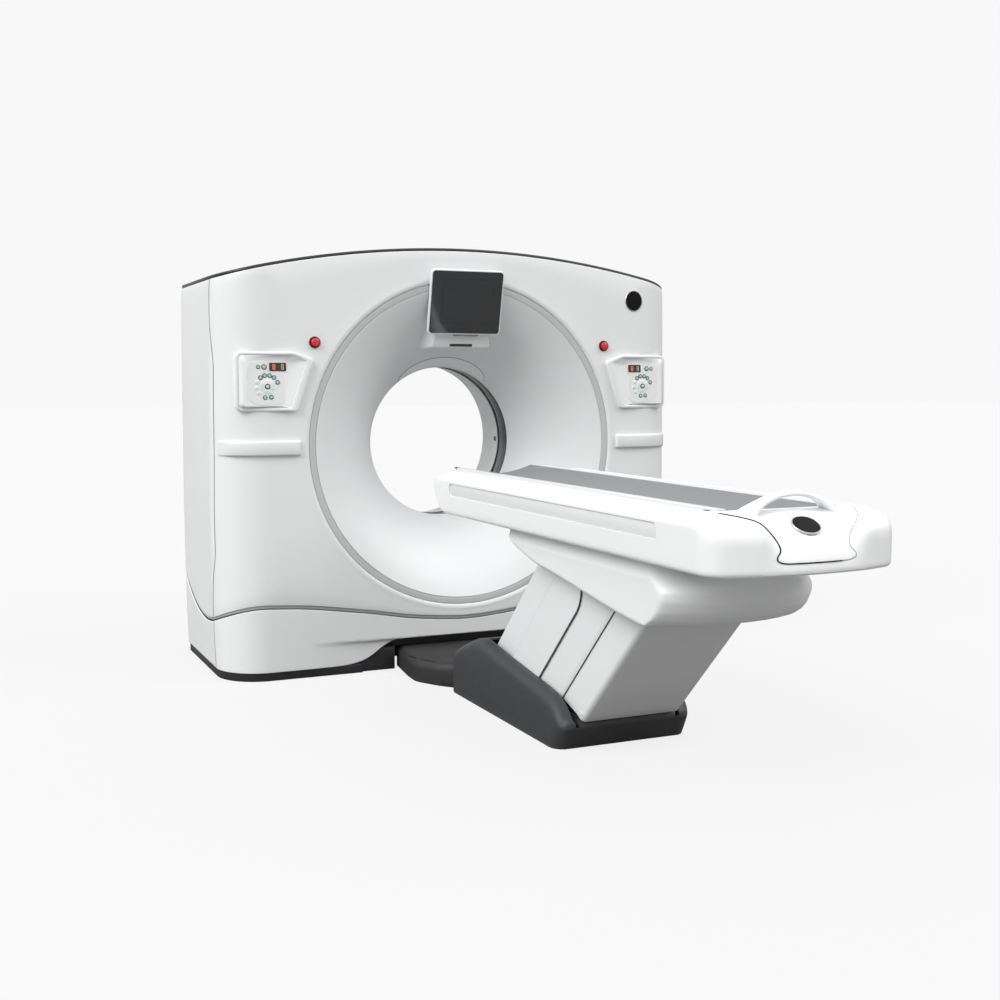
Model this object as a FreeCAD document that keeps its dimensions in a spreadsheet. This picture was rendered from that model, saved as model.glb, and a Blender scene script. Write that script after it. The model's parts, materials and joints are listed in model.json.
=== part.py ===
import FreeCAD, Part
import Sketcher
import math
import os
from FreeCAD import Vector, Rotation, Placement

# Computed tomography scanner: a ring-shaped gantry that tilts about a level
# axis through its isocentre, and a patient table carried on a leaning
# parallelogram of links behind four overlapping cover strips.
# Millimetres. +Z up, floor at Z = 0. +Y runs from the table into the bore.
# The origin is on the floor straight below the isocentre, at the middle of
# the gantry's four floor anchors.

doc = FreeCAD.newDocument("ct_scanner")
sheet = doc.addObject("Spreadsheet::Sheet", "Dims")


class Q:
    """A length with its value and the sheet expression that gives it."""

    def __init__(self, v, t):
        self.v, self.t = float(v), t

    def _op(self, o, f, s, flip=False):
        ov, ot = (o.v, o.t) if isinstance(o, Q) else (float(o), "%.6g" % o)
        a, b = ((ov, ot), (self.v, self.t)) if flip else ((self.v, self.t), (ov, ot))
        return Q(f(a[0], b[0]), "(%s %s %s)" % (a[1], s, b[1]))

    def __add__(self, o):
        return self._op(o, lambda a, b: a + b, "+")

    def __radd__(self, o):
        return self._op(o, lambda a, b: a + b, "+", True)

    def __sub__(self, o):
        return self._op(o, lambda a, b: a - b, "-")

    def __rsub__(self, o):
        return self._op(o, lambda a, b: a - b, "-", True)

    def __mul__(self, o):
        return self._op(o, lambda a, b: a * b, "*")

    def __rmul__(self, o):
        return self._op(o, lambda a, b: a * b, "*", True)

    def __truediv__(self, o):
        return self._op(o, lambda a, b: a / b, "/")

    def __neg__(self):
        return Q(-self.v, "(-1 * %s)" % self.t)


_row = [0]


def dim(name, value):
    _row[0] += 1
    sheet.set("A%d" % _row[0], name)
    sheet.set("B%d" % _row[0], "%g" % value)
    sheet.setAlias("B%d" % _row[0], name)
    return Q(value, "Dims." + name)


# ---------------------------------------------------------------- dimensions
W = dim("gantry_half_width", 1115)
DEP = dim("gantry_depth", 1000)
TOP = dim("gantry_top_height", 1884)
ARCH = dim("gantry_arch_radius", 4400)
RC = dim("gantry_corner_radius", 200)
WALL = dim("cover_wall", 6)
CAP = dim("cap_thickness", 22)
ISO = dim("isocentre_height", 1009)
FY = dim("front_face_pos", -370)
SF = dim("front_seam_pos", -200)
SR = dim("rear_seam_pos", 460)
SEAM = dim("seam_gap", 2)
E0 = dim("parting_radius_middle", 880)
E1 = dim("parting_radius_quarter", 866)
E2 = dim("parting_radius_half", 825)
E3 = dim("parting_radius_outer", 789)
E4 = dim("parting_radius_side", 776)
EG = dim("parting_half_gap", 4)
SKIRT = dim("skirt_height", 38)
RING = dim("ring_radius", 735)
RINGI = dim("ring_inner_radius", 703)
BORE = dim("bore_radius", 350)
LINR = dim("liner_rear_radius", 367)
LIP = dim("bore_lip_pos", -50)
WIN = dim("window_end_pos", 67)
LINE = dim("liner_end_pos", 251)
SHEL = dim("funnel_wall", 5)
FARC = dim("funnel_arc_radius", 811)
REARH = dim("rear_opening_radius", 560)
ROTR = dim("rotor_rim_radius", 705)
ROTI = dim("rotor_inner_radius", 400)
TRUN = dim("trunnion_radius", 50)
TRUNF = dim("trunnion_clearance", 1)
PEDI = dim("pedestal_inner", 930)
PEDT = dim("pedestal_thickness", 90)
ANX = dim("gantry_anchor_half_x", 1047)
ANY = dim("gantry_anchor_half_y", 170)
ANR = dim("gantry_anchor_hole_radius", 9)
ESX = dim("estop_half_spacing", 704)
ESZ = dim("estop_height", 1459)
MONW = dim("monitor_width", 354)
MONH = dim("monitor_height", 290)
MONT = dim("monitor_thickness", 19)
BARZ = dim("bar_bottom", 975)
BARH = dim("bar_height", 65)
BARP = dim("bar_proud", 12)
CONP = dim("console_proud", 18)
TW = dim("tabletop_half_width", 330)
TB = dim("tabletop_bottom", 757)
TT = dim("tabletop_shoulder", 925)
TPR = dim("tabletop_corner_radius", 90)
TROU = dim("trough_half_width", 228)
CRW = dim("cradle_half_width", 215)
CRE = dim("cradle_edge_height", 931)
CRR = dim("cradle_dish_radius", 480)
CR0 = dim("cradle_head_end", -660)
CR1 = dim("cradle_foot_end", -2750)
MATW = dim("mat_half_width", 184)
MATT = dim("mat_thickness", 12)
SHW = dim("shroud_half_width", 280)
BW = dim("base_half_width", 270)
PIV1 = dim("front_pivot_pos", -1170)
PIV2 = dim("rear_pivot_pos", -1730)
PIVZ = dim("link_pivot_height", 120)
LINK = dim("link_length", 820)
SHAFT = dim("link_shaft_radius", 12)
TANX = dim("table_anchor_half_x", 190)
TAN0 = dim("table_anchor_front_pos", -900)
TAN1 = dim("table_anchor_rear_pos", -1750)
TANR = dim("table_anchor_hole_radius", 7)
PINR = dim("strip_pin_radius", 8)
SHEET = dim("strip_sheet_thickness", 3)
doc.recompute()

LEAN = 45.0  # the links' lean at rest, in degrees above the floor


def num(q):
    return q.v if isinstance(q, Q) else float(q)


def bind(obj, prop, q):
    if isinstance(q, Q):
        obj.setExpression(prop, q.t)


def place(obj, x, y, z, rot=None):
    obj.Placement = Placement(Vector(num(x), num(y), num(z)), rot or Rotation())
    for axis, q in (("x", x), ("y", y), ("z", z)):
        bind(obj, "Placement.Base." + axis, q)
    return obj


_n = [0]


def uid(stem):
    _n[0] += 1
    return "%s_%03d" % (stem, _n[0])


def box(x0, x1, y0, y1, z0, z1, rot=None):
    o = doc.addObject("Part::Box", uid("box"))
    for prop, a, b in (("Length", x0, x1), ("Width", y0, y1), ("Height", z0, z1)):
        d = b - a
        setattr(o, prop, num(d))
        bind(o, prop, d)
    return place(o, x0, y0, z0)


TURN = {
    "x": Rotation(Vector(0, 1, 0), 90),
    "y": Rotation(Vector(1, 0, 0), -90),
    "z": Rotation(),
}


def cyl(axis, x, y, z, r, length):
    """A cylinder that starts at x, y, z and runs along the positive axis."""
    o = doc.addObject("Part::Cylinder", uid("cyl"))
    o.Radius, o.Height = num(r), num(length)
    bind(o, "Radius", r)
    bind(o, "Height", length)
    return place(o, x, y, z, TURN[axis])


def cut(a, *tools):
    for t in tools:
        o = doc.addObject("Part::Cut", uid("cut"))
        o.Base, o.Tool = a, t
        a = o
    return a


def fuse(*parts):
    o = doc.addObject("Part::MultiFuse", uid("fuse"))
    o.Shapes = list(parts)
    o.Refine = True
    return o


def common(*parts):
    a = parts[0]
    for b in parts[1:]:
        o = doc.addObject("Part::Common", uid("common"))
        o.Base, o.Tool = a, b
        a = o
    return a


def tube(axis, x, y, z, outer, inner, length):
    """A ring with plain ends; its hole runs a millimetre past both."""
    return cut(
        cyl(axis, x, y, z, outer, length),
        cyl(
            axis,
            x - 1 if axis == "x" else x,
            y - 1 if axis == "y" else y,
            z - 1 if axis == "z" else z,
            inner,
            length + 2,
        ),
    )


def arc_of(p, q, r, side):
    """The smaller arc between p and q, drawn anticlockwise; side +1 bulges to the
    left of the way from p to q, and then the arc's own start is q."""
    dx, dy = q[0] - p[0], q[1] - p[1]
    c = math.hypot(dx, dy)
    off = math.sqrt(max(r * r - c * c / 4, 0.0))
    cx = (p[0] + q[0]) / 2 + side * dy / c * off
    cy = (p[1] + q[1]) / 2 - side * dx / c * off
    a, b = (p, q) if side < 0 else (q, p)
    a0 = math.atan2(a[1] - cy, a[0] - cx)
    a1 = math.atan2(b[1] - cy, b[0] - cx)
    if a1 < a0:
        a1 += 2 * math.pi
    return Part.ArcOfCircle(Part.Circle(Vector(cx, cy, 0), Vector(0, 0, 1), r), a0, a1)


def sketch(body, role, verts, arcs=None):
    arcs = arcs or {}
    sk = body.newObject("Sketcher::SketchObject", uid("sketch"))
    plane = [o for o in body.Origin.OriginFeatures if o.Role == role][0]
    sk.AttachmentSupport = [(plane, "")]
    sk.MapMode = "FlatFace"
    n = len(verts)
    pts = [(num(a), num(b)) for a, b in verts]
    for i in range(n):
        p, q = pts[i], pts[(i + 1) % n]
        if i in arcs:
            curve = arc_of(p, q, num(arcs[i][0]), arcs[i][1])
            sk.addGeometry(curve, False)
        else:
            sk.addGeometry(Part.LineSegment(Vector(p[0], p[1], 0), Vector(q[0], q[1], 0)), False)

    def ends(i):
        return (2, 1) if i in arcs and arcs[i][1] > 0 else (1, 2)

    for i in range(n):
        j = (i + 1) % n
        sk.addConstraint(Sketcher.Constraint("Coincident", i, ends(i)[1], j, ends(j)[0]))
    for i, (u, v) in enumerate(verts):
        k = sk.addConstraint(Sketcher.Constraint("DistanceX", -1, 1, i, ends(i)[0], num(u)))
        if isinstance(u, Q):
            sk.setExpression("Constraints[%d]" % k, u.t)
        k = sk.addConstraint(Sketcher.Constraint("DistanceY", -1, 1, i, ends(i)[0], num(v)))
        if isinstance(v, Q):
            sk.setExpression("Constraints[%d]" % k, v.t)
        if i in arcs:
            r = arcs[i][0]
            k = sk.addConstraint(Sketcher.Constraint("Radius", i, num(r)))
            if isinstance(r, Q):
                sk.setExpression("Constraints[%d]" % k, r.t)
    return sk


def pad(plane, start, length, verts, arcs=None, holes=()):
    """An outline made solid along the plane's own axis.

    On XZ the outline holds (X, Z) and the solid fills Y from start to start + length.
    On YZ it holds (Y, Z) and fills X; on XY it holds (X, Y) and fills Z.
    """
    b = doc.addObject("PartDesign::Body", uid("body"))
    sk = sketch(b, plane + "_Plane", verts, arcs)
    p = b.newObject("PartDesign::Pad", uid("pad"))
    p.Profile = sk
    p.Length = num(length)
    bind(p, "Length", length)
    tip = p
    for hx, hy, hr in holes:
        hs = b.newObject("Sketcher::SketchObject", uid("sketch"))
        hp = [o for o in b.Origin.OriginFeatures if o.Role == plane + "_Plane"][0]
        hs.AttachmentSupport = [(hp, "")]
        hs.MapMode = "FlatFace"
        hs.addGeometry(Part.Circle(Vector(num(hx), num(hy), 0), Vector(0, 0, 1), num(hr)), False)
        for kind, q in (("DistanceX", hx), ("DistanceY", hy)):
            k = hs.addConstraint(Sketcher.Constraint(kind, -1, 1, 0, 3, num(q)))
            if isinstance(q, Q):
                hs.setExpression("Constraints[%d]" % k, q.t)
        k = hs.addConstraint(Sketcher.Constraint("Radius", 0, num(hr)))
        if isinstance(hr, Q):
            hs.setExpression("Constraints[%d]" % k, hr.t)
        pk = b.newObject("PartDesign::Pocket", uid("pocket"))
        pk.Profile = hs
        pk.Type = 1
        pk.Reversed = True
        tip = pk
    b.Tip = tip
    if plane == "XZ":
        place(b, 0, start + length, 0)
    elif plane == "YZ":
        place(b, start, 0, 0)
    else:
        place(b, 0, 0, start)
    return b


def turned(verts, arcs=None, about="y"):
    """A turned solid. About y: (radius, Y) round the bore's axis.
    About x: (X, radius) round the tilt axis."""
    b = doc.addObject("PartDesign::Body", uid("body"))
    sk = sketch(b, "XY_Plane", verts, arcs)
    rv = b.newObject("PartDesign::Revolution", uid("turn"))
    rv.Profile = sk
    rv.ReferenceAxis = (sk, ["V_Axis" if about == "y" else "H_Axis"])
    rv.Angle = 360
    b.Tip = rv
    return place(b, 0, 0, ISO)


def rounded_plan(x0, x1, y0, y1, r, z0, height):
    v = [
        (x0 + r, y0),
        (x1 - r, y0),
        (x1, y0 + r),
        (x1, y1 - r),
        (x1 - r, y1),
        (x0 + r, y1),
        (x0, y1 - r),
        (x0, y0 + r),
    ]
    return pad("XY", z0, height, v, {1: (r, -1), 3: (r, -1), 5: (r, -1), 7: (r, -1)})


nodes = []


def node(label, obj):
    obj.Label = label
    nodes.append(obj)
    return obj


def Y(v):
    """A position measured from the gantry's front face."""
    return FY + v


# ---------------------------------------------------------- gantry's casing
ARCHZ = TOP - ARCH  # height of the arch's centre, far below the floor
plan_out = rounded_plan(-W, W, FY, FY + DEP, RC, 0, TOP + 100)
plan_in = rounded_plan(WALL - W, W - WALL, FY + WALL, FY + DEP - WALL, RC - WALL, -10, TOP + 110)
arch_white = cyl("y", 0, FY - 50, ARCHZ, ARCH - CAP, DEP + 100)
arch_inner = cyl("y", 0, FY - 50, ARCHZ, ARCH - CAP - WALL, DEP + 100)
casing = common(plan_out, arch_white)
shell = cut(casing, common(plan_in, arch_inner))


PREACH = dim("parting_reach", 1160)


def parting(g):
    """The barrel-shaped parting surface, turned round the tilt axis, so that the
    upper covers pass inside the lower ones at every tilt."""
    side = PREACH
    return turned(
        [
            (-side, 0),
            (side, 0),
            (side, E4 + g),
            (820, E3 + g),
            (500, E2 + g),
            (220, E1 + g),
            (0, E0 + g),
            (-220, E1 + g),
            (-500, E2 + g),
            (-820, E3 + g),
            (-side, E4 + g),
        ],
        about="x",
    )


EG_IN = -EG
EG_OUT = EG + 0
doc.recompute()
tilt_zone = fuse(parting(EG_IN), box(-1200, 1200, FY - 100, FY + DEP + 100, ISO + 0, TOP + 60))
fixed_zone = cut(
    box(-1200, 1200, FY - 100, FY + DEP + 100, SKIRT + 0, ISO - 300), parting(EG_OUT)
)
tilt_shell = common(shell, tilt_zone)
fixed_shell = common(shell, fixed_zone)

estop_holes = [cyl("y", s * ESX, FY - 5, ESZ, 18.5, 20) for s in (-1, 1)]
node(
    "front_cover",
    cut(
        common(tilt_shell, box(-1200, 1200, FY - 20, SF, 0, TOP + 50)),
        cyl("y", 0, FY - 20, ISO, RING, 60),
        *estop_holes,
    ),
)
node(
    "rear_cover",
    cut(
        common(tilt_shell, box(-1200, 1200, SR, FY + DEP + 20, 0, TOP + 50)),
        cyl("y", 0, FY + DEP - 30, ISO, REARH, 60),
    ),
)
node(
    "side_cover_left",
    common(tilt_shell, box(-1200, -600, SF + SEAM, SR - SEAM, 0, TOP + 50)),
)
node(
    "side_cover_right",
    common(tilt_shell, box(600, 1200, SF + SEAM, SR - SEAM, 0, TOP + 50)),
)
cap_plan = rounded_plan(15 - W, W - 15, FY + 15, FY + DEP - 15, RC - 15, TOP - 300, 400)
node(
    "top_cover",
    cut(
        common(cap_plan, cyl("y", 0, FY - 50, ARCHZ, ARCH, DEP + 100)),
        cyl("y", 0, FY - 50, ARCHZ, ARCH - CAP + 0.3, DEP + 100),
    ),
)

# The lower front cover rises in an S to a notch where the floor link enters.
notch = pad(
    "XZ",
    FY - 60,
    160,
    [
        (-600, 20),
        (600, 20),
        (600, 38),
        (500, 50),
        (400, 112),
        (330, 138),
        (-330, 138),
        (-400, 112),
        (-500, 50),
        (-600, 38),
    ],
)
node(
    "lower_front_cover",
    cut(common(fixed_shell, box(-1200, 1200, FY - 20, SF, 0, 900)), notch),
)
node(
    "lower_side_cover_left",
    common(fixed_shell, box(-1200, -600, SF + SEAM, SR - SEAM, 0, 900)),
)
node(
    "lower_side_cover_right",
    common(fixed_shell, box(600, 1200, SF + SEAM, SR - SEAM, 0, 900)),
)
node(
    "lower_rear_cover",
    common(fixed_shell, box(-1200, 1200, SR, FY + DEP + 20, 0, 900)),
)
skirt = cut(
    rounded_plan(10 - W, W - 10, FY + 10, FY + DEP - 10, RC - 10, 0, SKIRT - 0.3),
    rounded_plan(22 - W, W - 22, FY + 22, FY + DEP - 22, RC - 22, -5, SKIRT + 10),
    box(-500, 500, FY - 20, FY + 60, -5, SKIRT + 10),
)
# A dark wall closes the space behind the notch, over and beside the floor link.
recess = [box(-600, 600, FY + 45, FY + 51, 101, 150)]
for s in (-1, 1):
    recess.append(box(s * 508 - 92, s * 508 + 92, FY + 45, FY + 51, 0, 102))
    recess.append(box(s * 597 - 3, s * 597 + 3, FY + 12, FY + 46, 0, SKIRT - 0.3))
node("base_skirt", fuse(skirt, *recess))

# ------------------------------------------------- gantry's base and pedestals
beams = [
    box(-1025, -925, -290, 530, 12, 110),
    box(925, 1025, -290, 530, 12, 110),
    box(-930, 930, -150, -50, 12, 110),
    box(-930, 930, 200, 300, 12, 110),
]
pads = [
    box(s * 1001.5 - 76.5, s * 1001.5 + 76.5, t * ANY - 45, t * ANY + 45, 0, 20)
    for s in (-1, 1)
    for t in (-1, 1)
]
anchor_holes = [cyl("z", s * ANX, t * ANY, -5, ANR, 30) for s in (-1, 1) for t in (-1, 1)]
node("gantry_base_frame", cut(fuse(*(beams + pads)), *anchor_holes))

ped = [
    (-180, 110),
    (320, 110),
    (320, 150),
    (205, 225),
    (205, 300),
    (150, 520),
    (110, 700),
    (110, 1070),
    (60, 1110),
    (-60, 1110),
    (-100, 1070),
    (-100, 620),
    (85, 300),
    (85, 225),
    (-180, 150),
]
for label, x0 in (("pedestal_left", -PEDI - PEDT), ("pedestal_right", PEDI + 0)):
    node(label, cut(pad("YZ", x0, PEDT, ped), cyl("x", x0 - 5, 0, ISO, TRUN + TRUNF, PEDT + 10)))

# tilt gearmotor on the left pedestal's outer face: ring gearbox and upright motor
gear_x = -PEDI - PEDT - 30
node(
    "tilt_gearmotor",
    fuse(
        cut(cyl("x", gear_x, 0, ISO, 95, 30), cyl("x", gear_x - 5, 0, ISO, TRUN + TRUNF, 40)),
        cyl("z", gear_x - 8, 0, ISO - 330, 36, 236),
        box(gear_x - 30, gear_x + 0, -45, 45, ISO - 130, ISO - 88),
    ),
)

# ------------------------------------------------------------- tilting frame
plate = fuse(
    cyl("y", 0, 245, ISO, 800, 40),
    box(-880, 880, 245, 285, ISO - 220, ISO + 220),
    box(-426, -266, 245, 285, ISO + 640, ISO + 811),
)
arms = [box(-880, -800, -90, 250, ISO - 220, ISO + 220), box(800, 880, -90, 250, ISO - 220, ISO + 220)]
pins = [cyl("x", -1048, 0, ISO, TRUN, 170), cyl("x", 878, 0, ISO, TRUN, 170)]
posts = [
    box(s * 560 - 15, s * 560 + 15, FY + WALL, FY + DEP - WALL, ISO + t * 560 - 15, ISO + t * 560 + 15)
    for s in (-1, 1)
    for t in (-1, 1)
]
node(
    "tilt_frame",
    cut(
        fuse(plate, *(arms + pins + posts)),
        cyl("y", 0, 240, ISO, 402, 60),
        cyl("y", -346, 240, ISO + 743, 14, 60),
    ),
)
node("main_bearing", tube("y", 0, 203, ISO, 482, 432, 42))
node("brush_block", box(-60, 60, 218, 245, ISO - 640, ISO - 560))

# ------------------------------------------------------------------ rotor
drum = fuse(
    cyl("y", 0, 175, ISO, ROTR - 5, 25),
    cut(cyl("y", 0, -120, ISO, ROTR, 320), cyl("y", 0, -125, ISO, ROTR - 12, 330)),
    cyl("y", 0, 195, ISO, 428, 45),
)
node("rotor_drum", cut(drum, cyl("y", 0, 170, ISO, ROTI, 90)))
node("slip_ring", tube("y", 0, 200, ISO, 640, 520, 14))


def on_rotor(angle, r0, r1, width, y0, y1):
    """A block on the rotor, from radius r0 to r1, turned about the bore's axis
    so that its outward way points angle degrees from straight up."""
    o = doc.addObject("Part::Box", uid("box"))
    o.Length, o.Width, o.Height = width, y1 - y0, r1 - r0
    a = math.radians(angle)
    rot = Rotation(Vector(0, 1, 0), angle)
    off = rot.multVec(Vector(-width / 2.0, 0, r0))
    o.Placement = Placement(Vector(off.x, y0, num(ISO) + off.z), rot)
    o.setExpression("Placement.Base.z", "Dims.isocentre_height + %.6f" % off.z)
    return o


node(
    "xray_tube",
    fuse(
        cyl("y", 0, -110, ISO + 570, 105, 285),
        cyl("y", 0, -118, ISO + 570, 60, 20),
        on_rotor(0, 455, 480, 150, -70, 90),
    ),
)
node("collimator", on_rotor(0, 385, 454, 240, -60, 80))
wedge = pad("XZ", -80, 180, [(0, num(ISO)), (620, num(ISO) - 1000), (-620, num(ISO) - 1000)])
node("detector_array", common(tube("y", 0, -70, ISO, 535, 408, 160), wedge))
node("hv_generator", on_rotor(62, 450, 640, 330, -90, 174.5))
node(
    "heat_exchanger",
    cut(on_rotor(-62, 450, 640, 330, -90, 174.5), cyl("y", -486, -95, ISO + 258, 72, 60)),
)

# --------------------------------------------------------------- rotor drive
PX, PZ = -346.0, 743.0
PR = 55.0
node("drive_motor", fuse(cyl("y", PX, 285, ISO + PZ, 62, 190), cyl("y", PX, 475, ISO + PZ, 40, 30)))
node(
    "drive_pulley",
    fuse(cyl("y", PX, 150, ISO + PZ, PR, 40), cyl("y", PX, 190, ISO + PZ, 12, 94.5)),
)


def belt_loop(r_big, r_small, y0, length):
    """The outline that a belt makes round the rotor's rim and the pulley."""
    d = math.hypot(PX, PZ)
    base = math.atan2(PZ, PX)
    a = math.acos((r_big - r_small) / d)
    zc = num(ISO)
    p = []
    for cx, cz, r, s in (
        (0, 0, r_big, 1),
        (PX, PZ, r_small, 1),
        (PX, PZ, r_small, -1),
        (0, 0, r_big, -1),
    ):
        t = base + s * a
        p.append((cx + r * math.cos(t), ISO + (cz + r * math.sin(t))))
    far = (-r_big * math.cos(base), ISO + (-r_big * math.sin(base)))
    v = [p[0], p[1], p[2], p[3], far]
    return pad("XZ", y0, length, v, {1: (r_small, 1), 3: (r_big, 1), 4: (r_big, 1)})


node("drive_belt", cut(belt_loop(712, 62, 155, 30), belt_loop(706, 56, 150, 40)))

# ------------------------------------------------------------ bore's surfaces


def funnel_y(r):
    """Position of the front funnel's surface at a radius."""
    p, q = (701.0, num(FY) + 8), (num(BORE), num(LIP))
    rr = num(FARC)
    dx, dy = q[0] - p[0], q[1] - p[1]
    c = math.hypot(dx, dy)
    nx, ny = -dy / c, dx / c
    hgt = math.sqrt(rr * rr - c * c / 4)
    best = None
    for s in (-1, 1):
        cx, cy = (p[0] + q[0]) / 2 + s * nx * hgt, (p[1] + q[1]) / 2 + s * ny * hgt
        if best is None or cy > best[1]:
            best = (cx, cy)
    cx, cy = best
    return cy - math.sqrt(rr * rr - (r - cx) ** 2)


node(
    "front_funnel",
    turned(
        [
            (701, FY + 8),
            (BORE + 0, LIP + 0),
            (BORE + 5, LIP + 2),
            (701, FY + 14),
        ],
        {0: (FARC, 1), 2: (FARC - SHEL, -1)},
    ),
)
node(
    "ring_trim",
    turned([(RING - 1.5, FY + 2), (RING - 1.5, FY + 14), (RINGI - 1, FY + 14), (RINGI - 1, FY + 7), (RING - 14, FY + 6)]),
)
node("scan_window", tube("y", 0, LIP + 2.5, ISO, BORE + 4, BORE + 0, WIN - LIP - 3))
node(
    "rear_funnel",
    turned(
        [
            (BORE + 1, WIN + 0),
            (LINR + 0, LINE + 0),
            (REARH - 1.5, FY + DEP - 1),
            (REARH - 1.5, FY + DEP - 7),
            (LINR + 5, LINE + 2),
            (BORE + 6, WIN + 0),
        ],
        {1: (900, 1), 3: (895, -1)},
    ),
)
radii = [360.0 + 4.75 * i for i in range(9)]
cres = turned(
    [(r, funnel_y(r) - 0.6) for r in radii] + [(r - 1.5, funnel_y(r) - 2.6) for r in radii[::-1]]
)
sector = pad("XZ", num(FY), 400, [(0, ISO + 0), (800, ISO + 1000), (-800, ISO + 1000)])
node("crescent_window", common(cres, sector))

# ------------------------------------------------------------------ monitor
MT = math.degrees(math.atan2(61.0, 285.0))
mrot = Rotation(Vector(1, 0, 0), MT)
mon = doc.addObject("Part::Box", uid("box"))
mon.Length, mon.Width, mon.Height = num(MONW), num(MONT), num(MONH)
bind(mon, "Length", MONW)
bind(mon, "Width", MONT)
bind(mon, "Height", MONH)
mb = (-num(MONW) / 2, num(FY) + 26.4, 1502.0)
mon.Placement = Placement(Vector(*mb), mrot)
glass = doc.addObject("Part::Box", uid("box"))
glass.Length, glass.Width, glass.Height = num(MONW) - 12, 2.0, num(MONH) - 12
bind(glass, "Length", MONW - 12)
bind(glass, "Height", MONH - 12)
goff = mrot.multVec(Vector(6, -2.0, 6))
glass.Placement = Placement(Vector(mb[0] + goff.x, mb[1] + goff.y, mb[2] + goff.z), mrot)
behind = turned(
    [(r, funnel_y(r) - 0.5) for r in [400.0 + 10 * i for i in range(26)]] + [(650, 300), (400, 300)]
)
# the plinth under the screen: a sloped face that runs back into the funnel
plinth = pad(
    "YZ", -165, 330, [(FY + 71, 1430), (FY + 17, 1580), (FY + 320, 1580), (FY + 320, 1430)]
)
node(
    "monitor_housing",
    cut(
        fuse(
            mon,
            plinth,
            box(-60, 60, num(FY) + 28, funnel_y(545.0) - 8, 1530, 1556),
            cyl("y", 0, num(FY) + 20, 1580, 28, funnel_y(540.0) - num(FY) - 20),
        ),
        behind,
    ),
)
node("monitor_glass", glass)

# ----------------------------------------------------------- control consoles
# Each console is a shallow rimmed tray that follows the casing's round corner.


def console(s):
    out = [(713, 1383), (800, 1416), (1035, 1416), (1015, 1168), (788, 1168)]
    inn = [(741, 1383), (806, 1404), (1022, 1404), (1003, 1181), (812, 1181)]
    if s < 0:
        out = [(-x, z) for x, z in out][::-1]
        inn = [(-x, z) for x, z in inn][::-1]
    body = pad("XZ", FY - CONP, 100, out)
    well = pad("XZ", FY - CONP - 5, CONP - 3, inn)
    return cut(body, well, casing)


node("console_left", console(-1))
node("console_right", console(1))
key = [(836, 1376), (1000, 1376), (990, 1196), (846, 1196)]
keyl = [(-x, z) for x, z in key][::-1]
node("console_keypads", fuse(pad("XZ", FY - 9.7, 1.5, key), pad("XZ", FY - 9.7, 1.5, keyl)))

# ------------------------------------------------------------------ trim bars
bar_plan = rounded_plan(-W - BARP, W + BARP, FY - BARP, FY + DEP + BARP, RC + BARP, BARZ + 0, BARH)
bar_hole = rounded_plan(-W - 0.3, W + 0.3, FY - 0.3, FY + DEP + 0.3, RC + 0.3, BARZ - 5, BARH + 10)
bar_ring = cut(bar_plan, bar_hole)
node("trim_bar_left", common(bar_ring, box(-1200, -772, FY - 50, SF, BARZ - 1, BARZ + BARH + 1)))
node("trim_bar_right", common(bar_ring, box(772, 1200, FY - 50, SF, BARZ - 1, BARZ + BARH + 1)))

# ------------------------------------------------------------- stop buttons
node(
    "estop_collars",
    fuse(*[tube("y", s * ESX, FY - 6, ESZ, 25, 18.5, 6) for s in (-1, 1)]),
)
node("estop_button_left", cyl("y", -ESX, FY - 17, ESZ, 17.5, 21))
node("estop_button_right", cyl("y", ESX + 0, FY - 17, ESZ, 17.5, 21))

# ------------------------------------------------------------- floor link
# Low housing on the floor that carries the leads from the gantry to the table.
link_plan = [
    (-255, -804),
    (255, -804),
    (330, -765),
    (395, -700),
    (415, -640),
    (415, -300),
    (-415, -300),
    (-415, -640),
    (-395, -700),
    (-330, -765),
]
link_side = pad("YZ", -420, 840, [(-804, 0), (-300, 0), (-300, 100), (-700, 100), (-804, 86)])
node(
    "floor_link_cover",
    cut(
        common(pad("XY", 0, 110, link_plan), link_side),
        box(-249, 249, -799, -305, -5, 80),
        box(-385, 385, -694, -305, -5, 85),
        box(-409, 409, -634, -305, -5, 95),
    ),
)

# --------------------------------------------------------- table's base


def at45(py, pz, along, across):
    """A point on a leaning piece at rest: along its lean, then square to it
    towards the gantry, from the pivot at py, pz."""
    c = math.cos(math.radians(LEAN))
    k = math.sin(math.radians(LEAN))
    return (py - along * c + across * k, pz + along * k + across * c)


strips = {
    # name: pivot Y, pivot Z, outer half width, outline as (along, across)
    "cover_strip_a": (-1070.0, 130.0, 192.5, [(-30, 37.5), (-30, -20), (50, -105), (790, -105), (790, 37.5)]),
    "cover_strip_b": (-1273.5, 130.0, 212.0, [(-30, 52), (-30, -22), (180, -150), (850, -150), (850, -60), (800, 52)]),
    "cover_strip_c": (-1526.6, 130.0, 205.5, [(-30, 40), (-30, -20), (90, -120), (810, -120), (780, 40)]),
    "cover_strip_d": (-1870.0, 140.0, 199.0, [(-15, -28), (670, -28), (500, 135), (-95, 135), (-30, 20)]),
}

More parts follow.
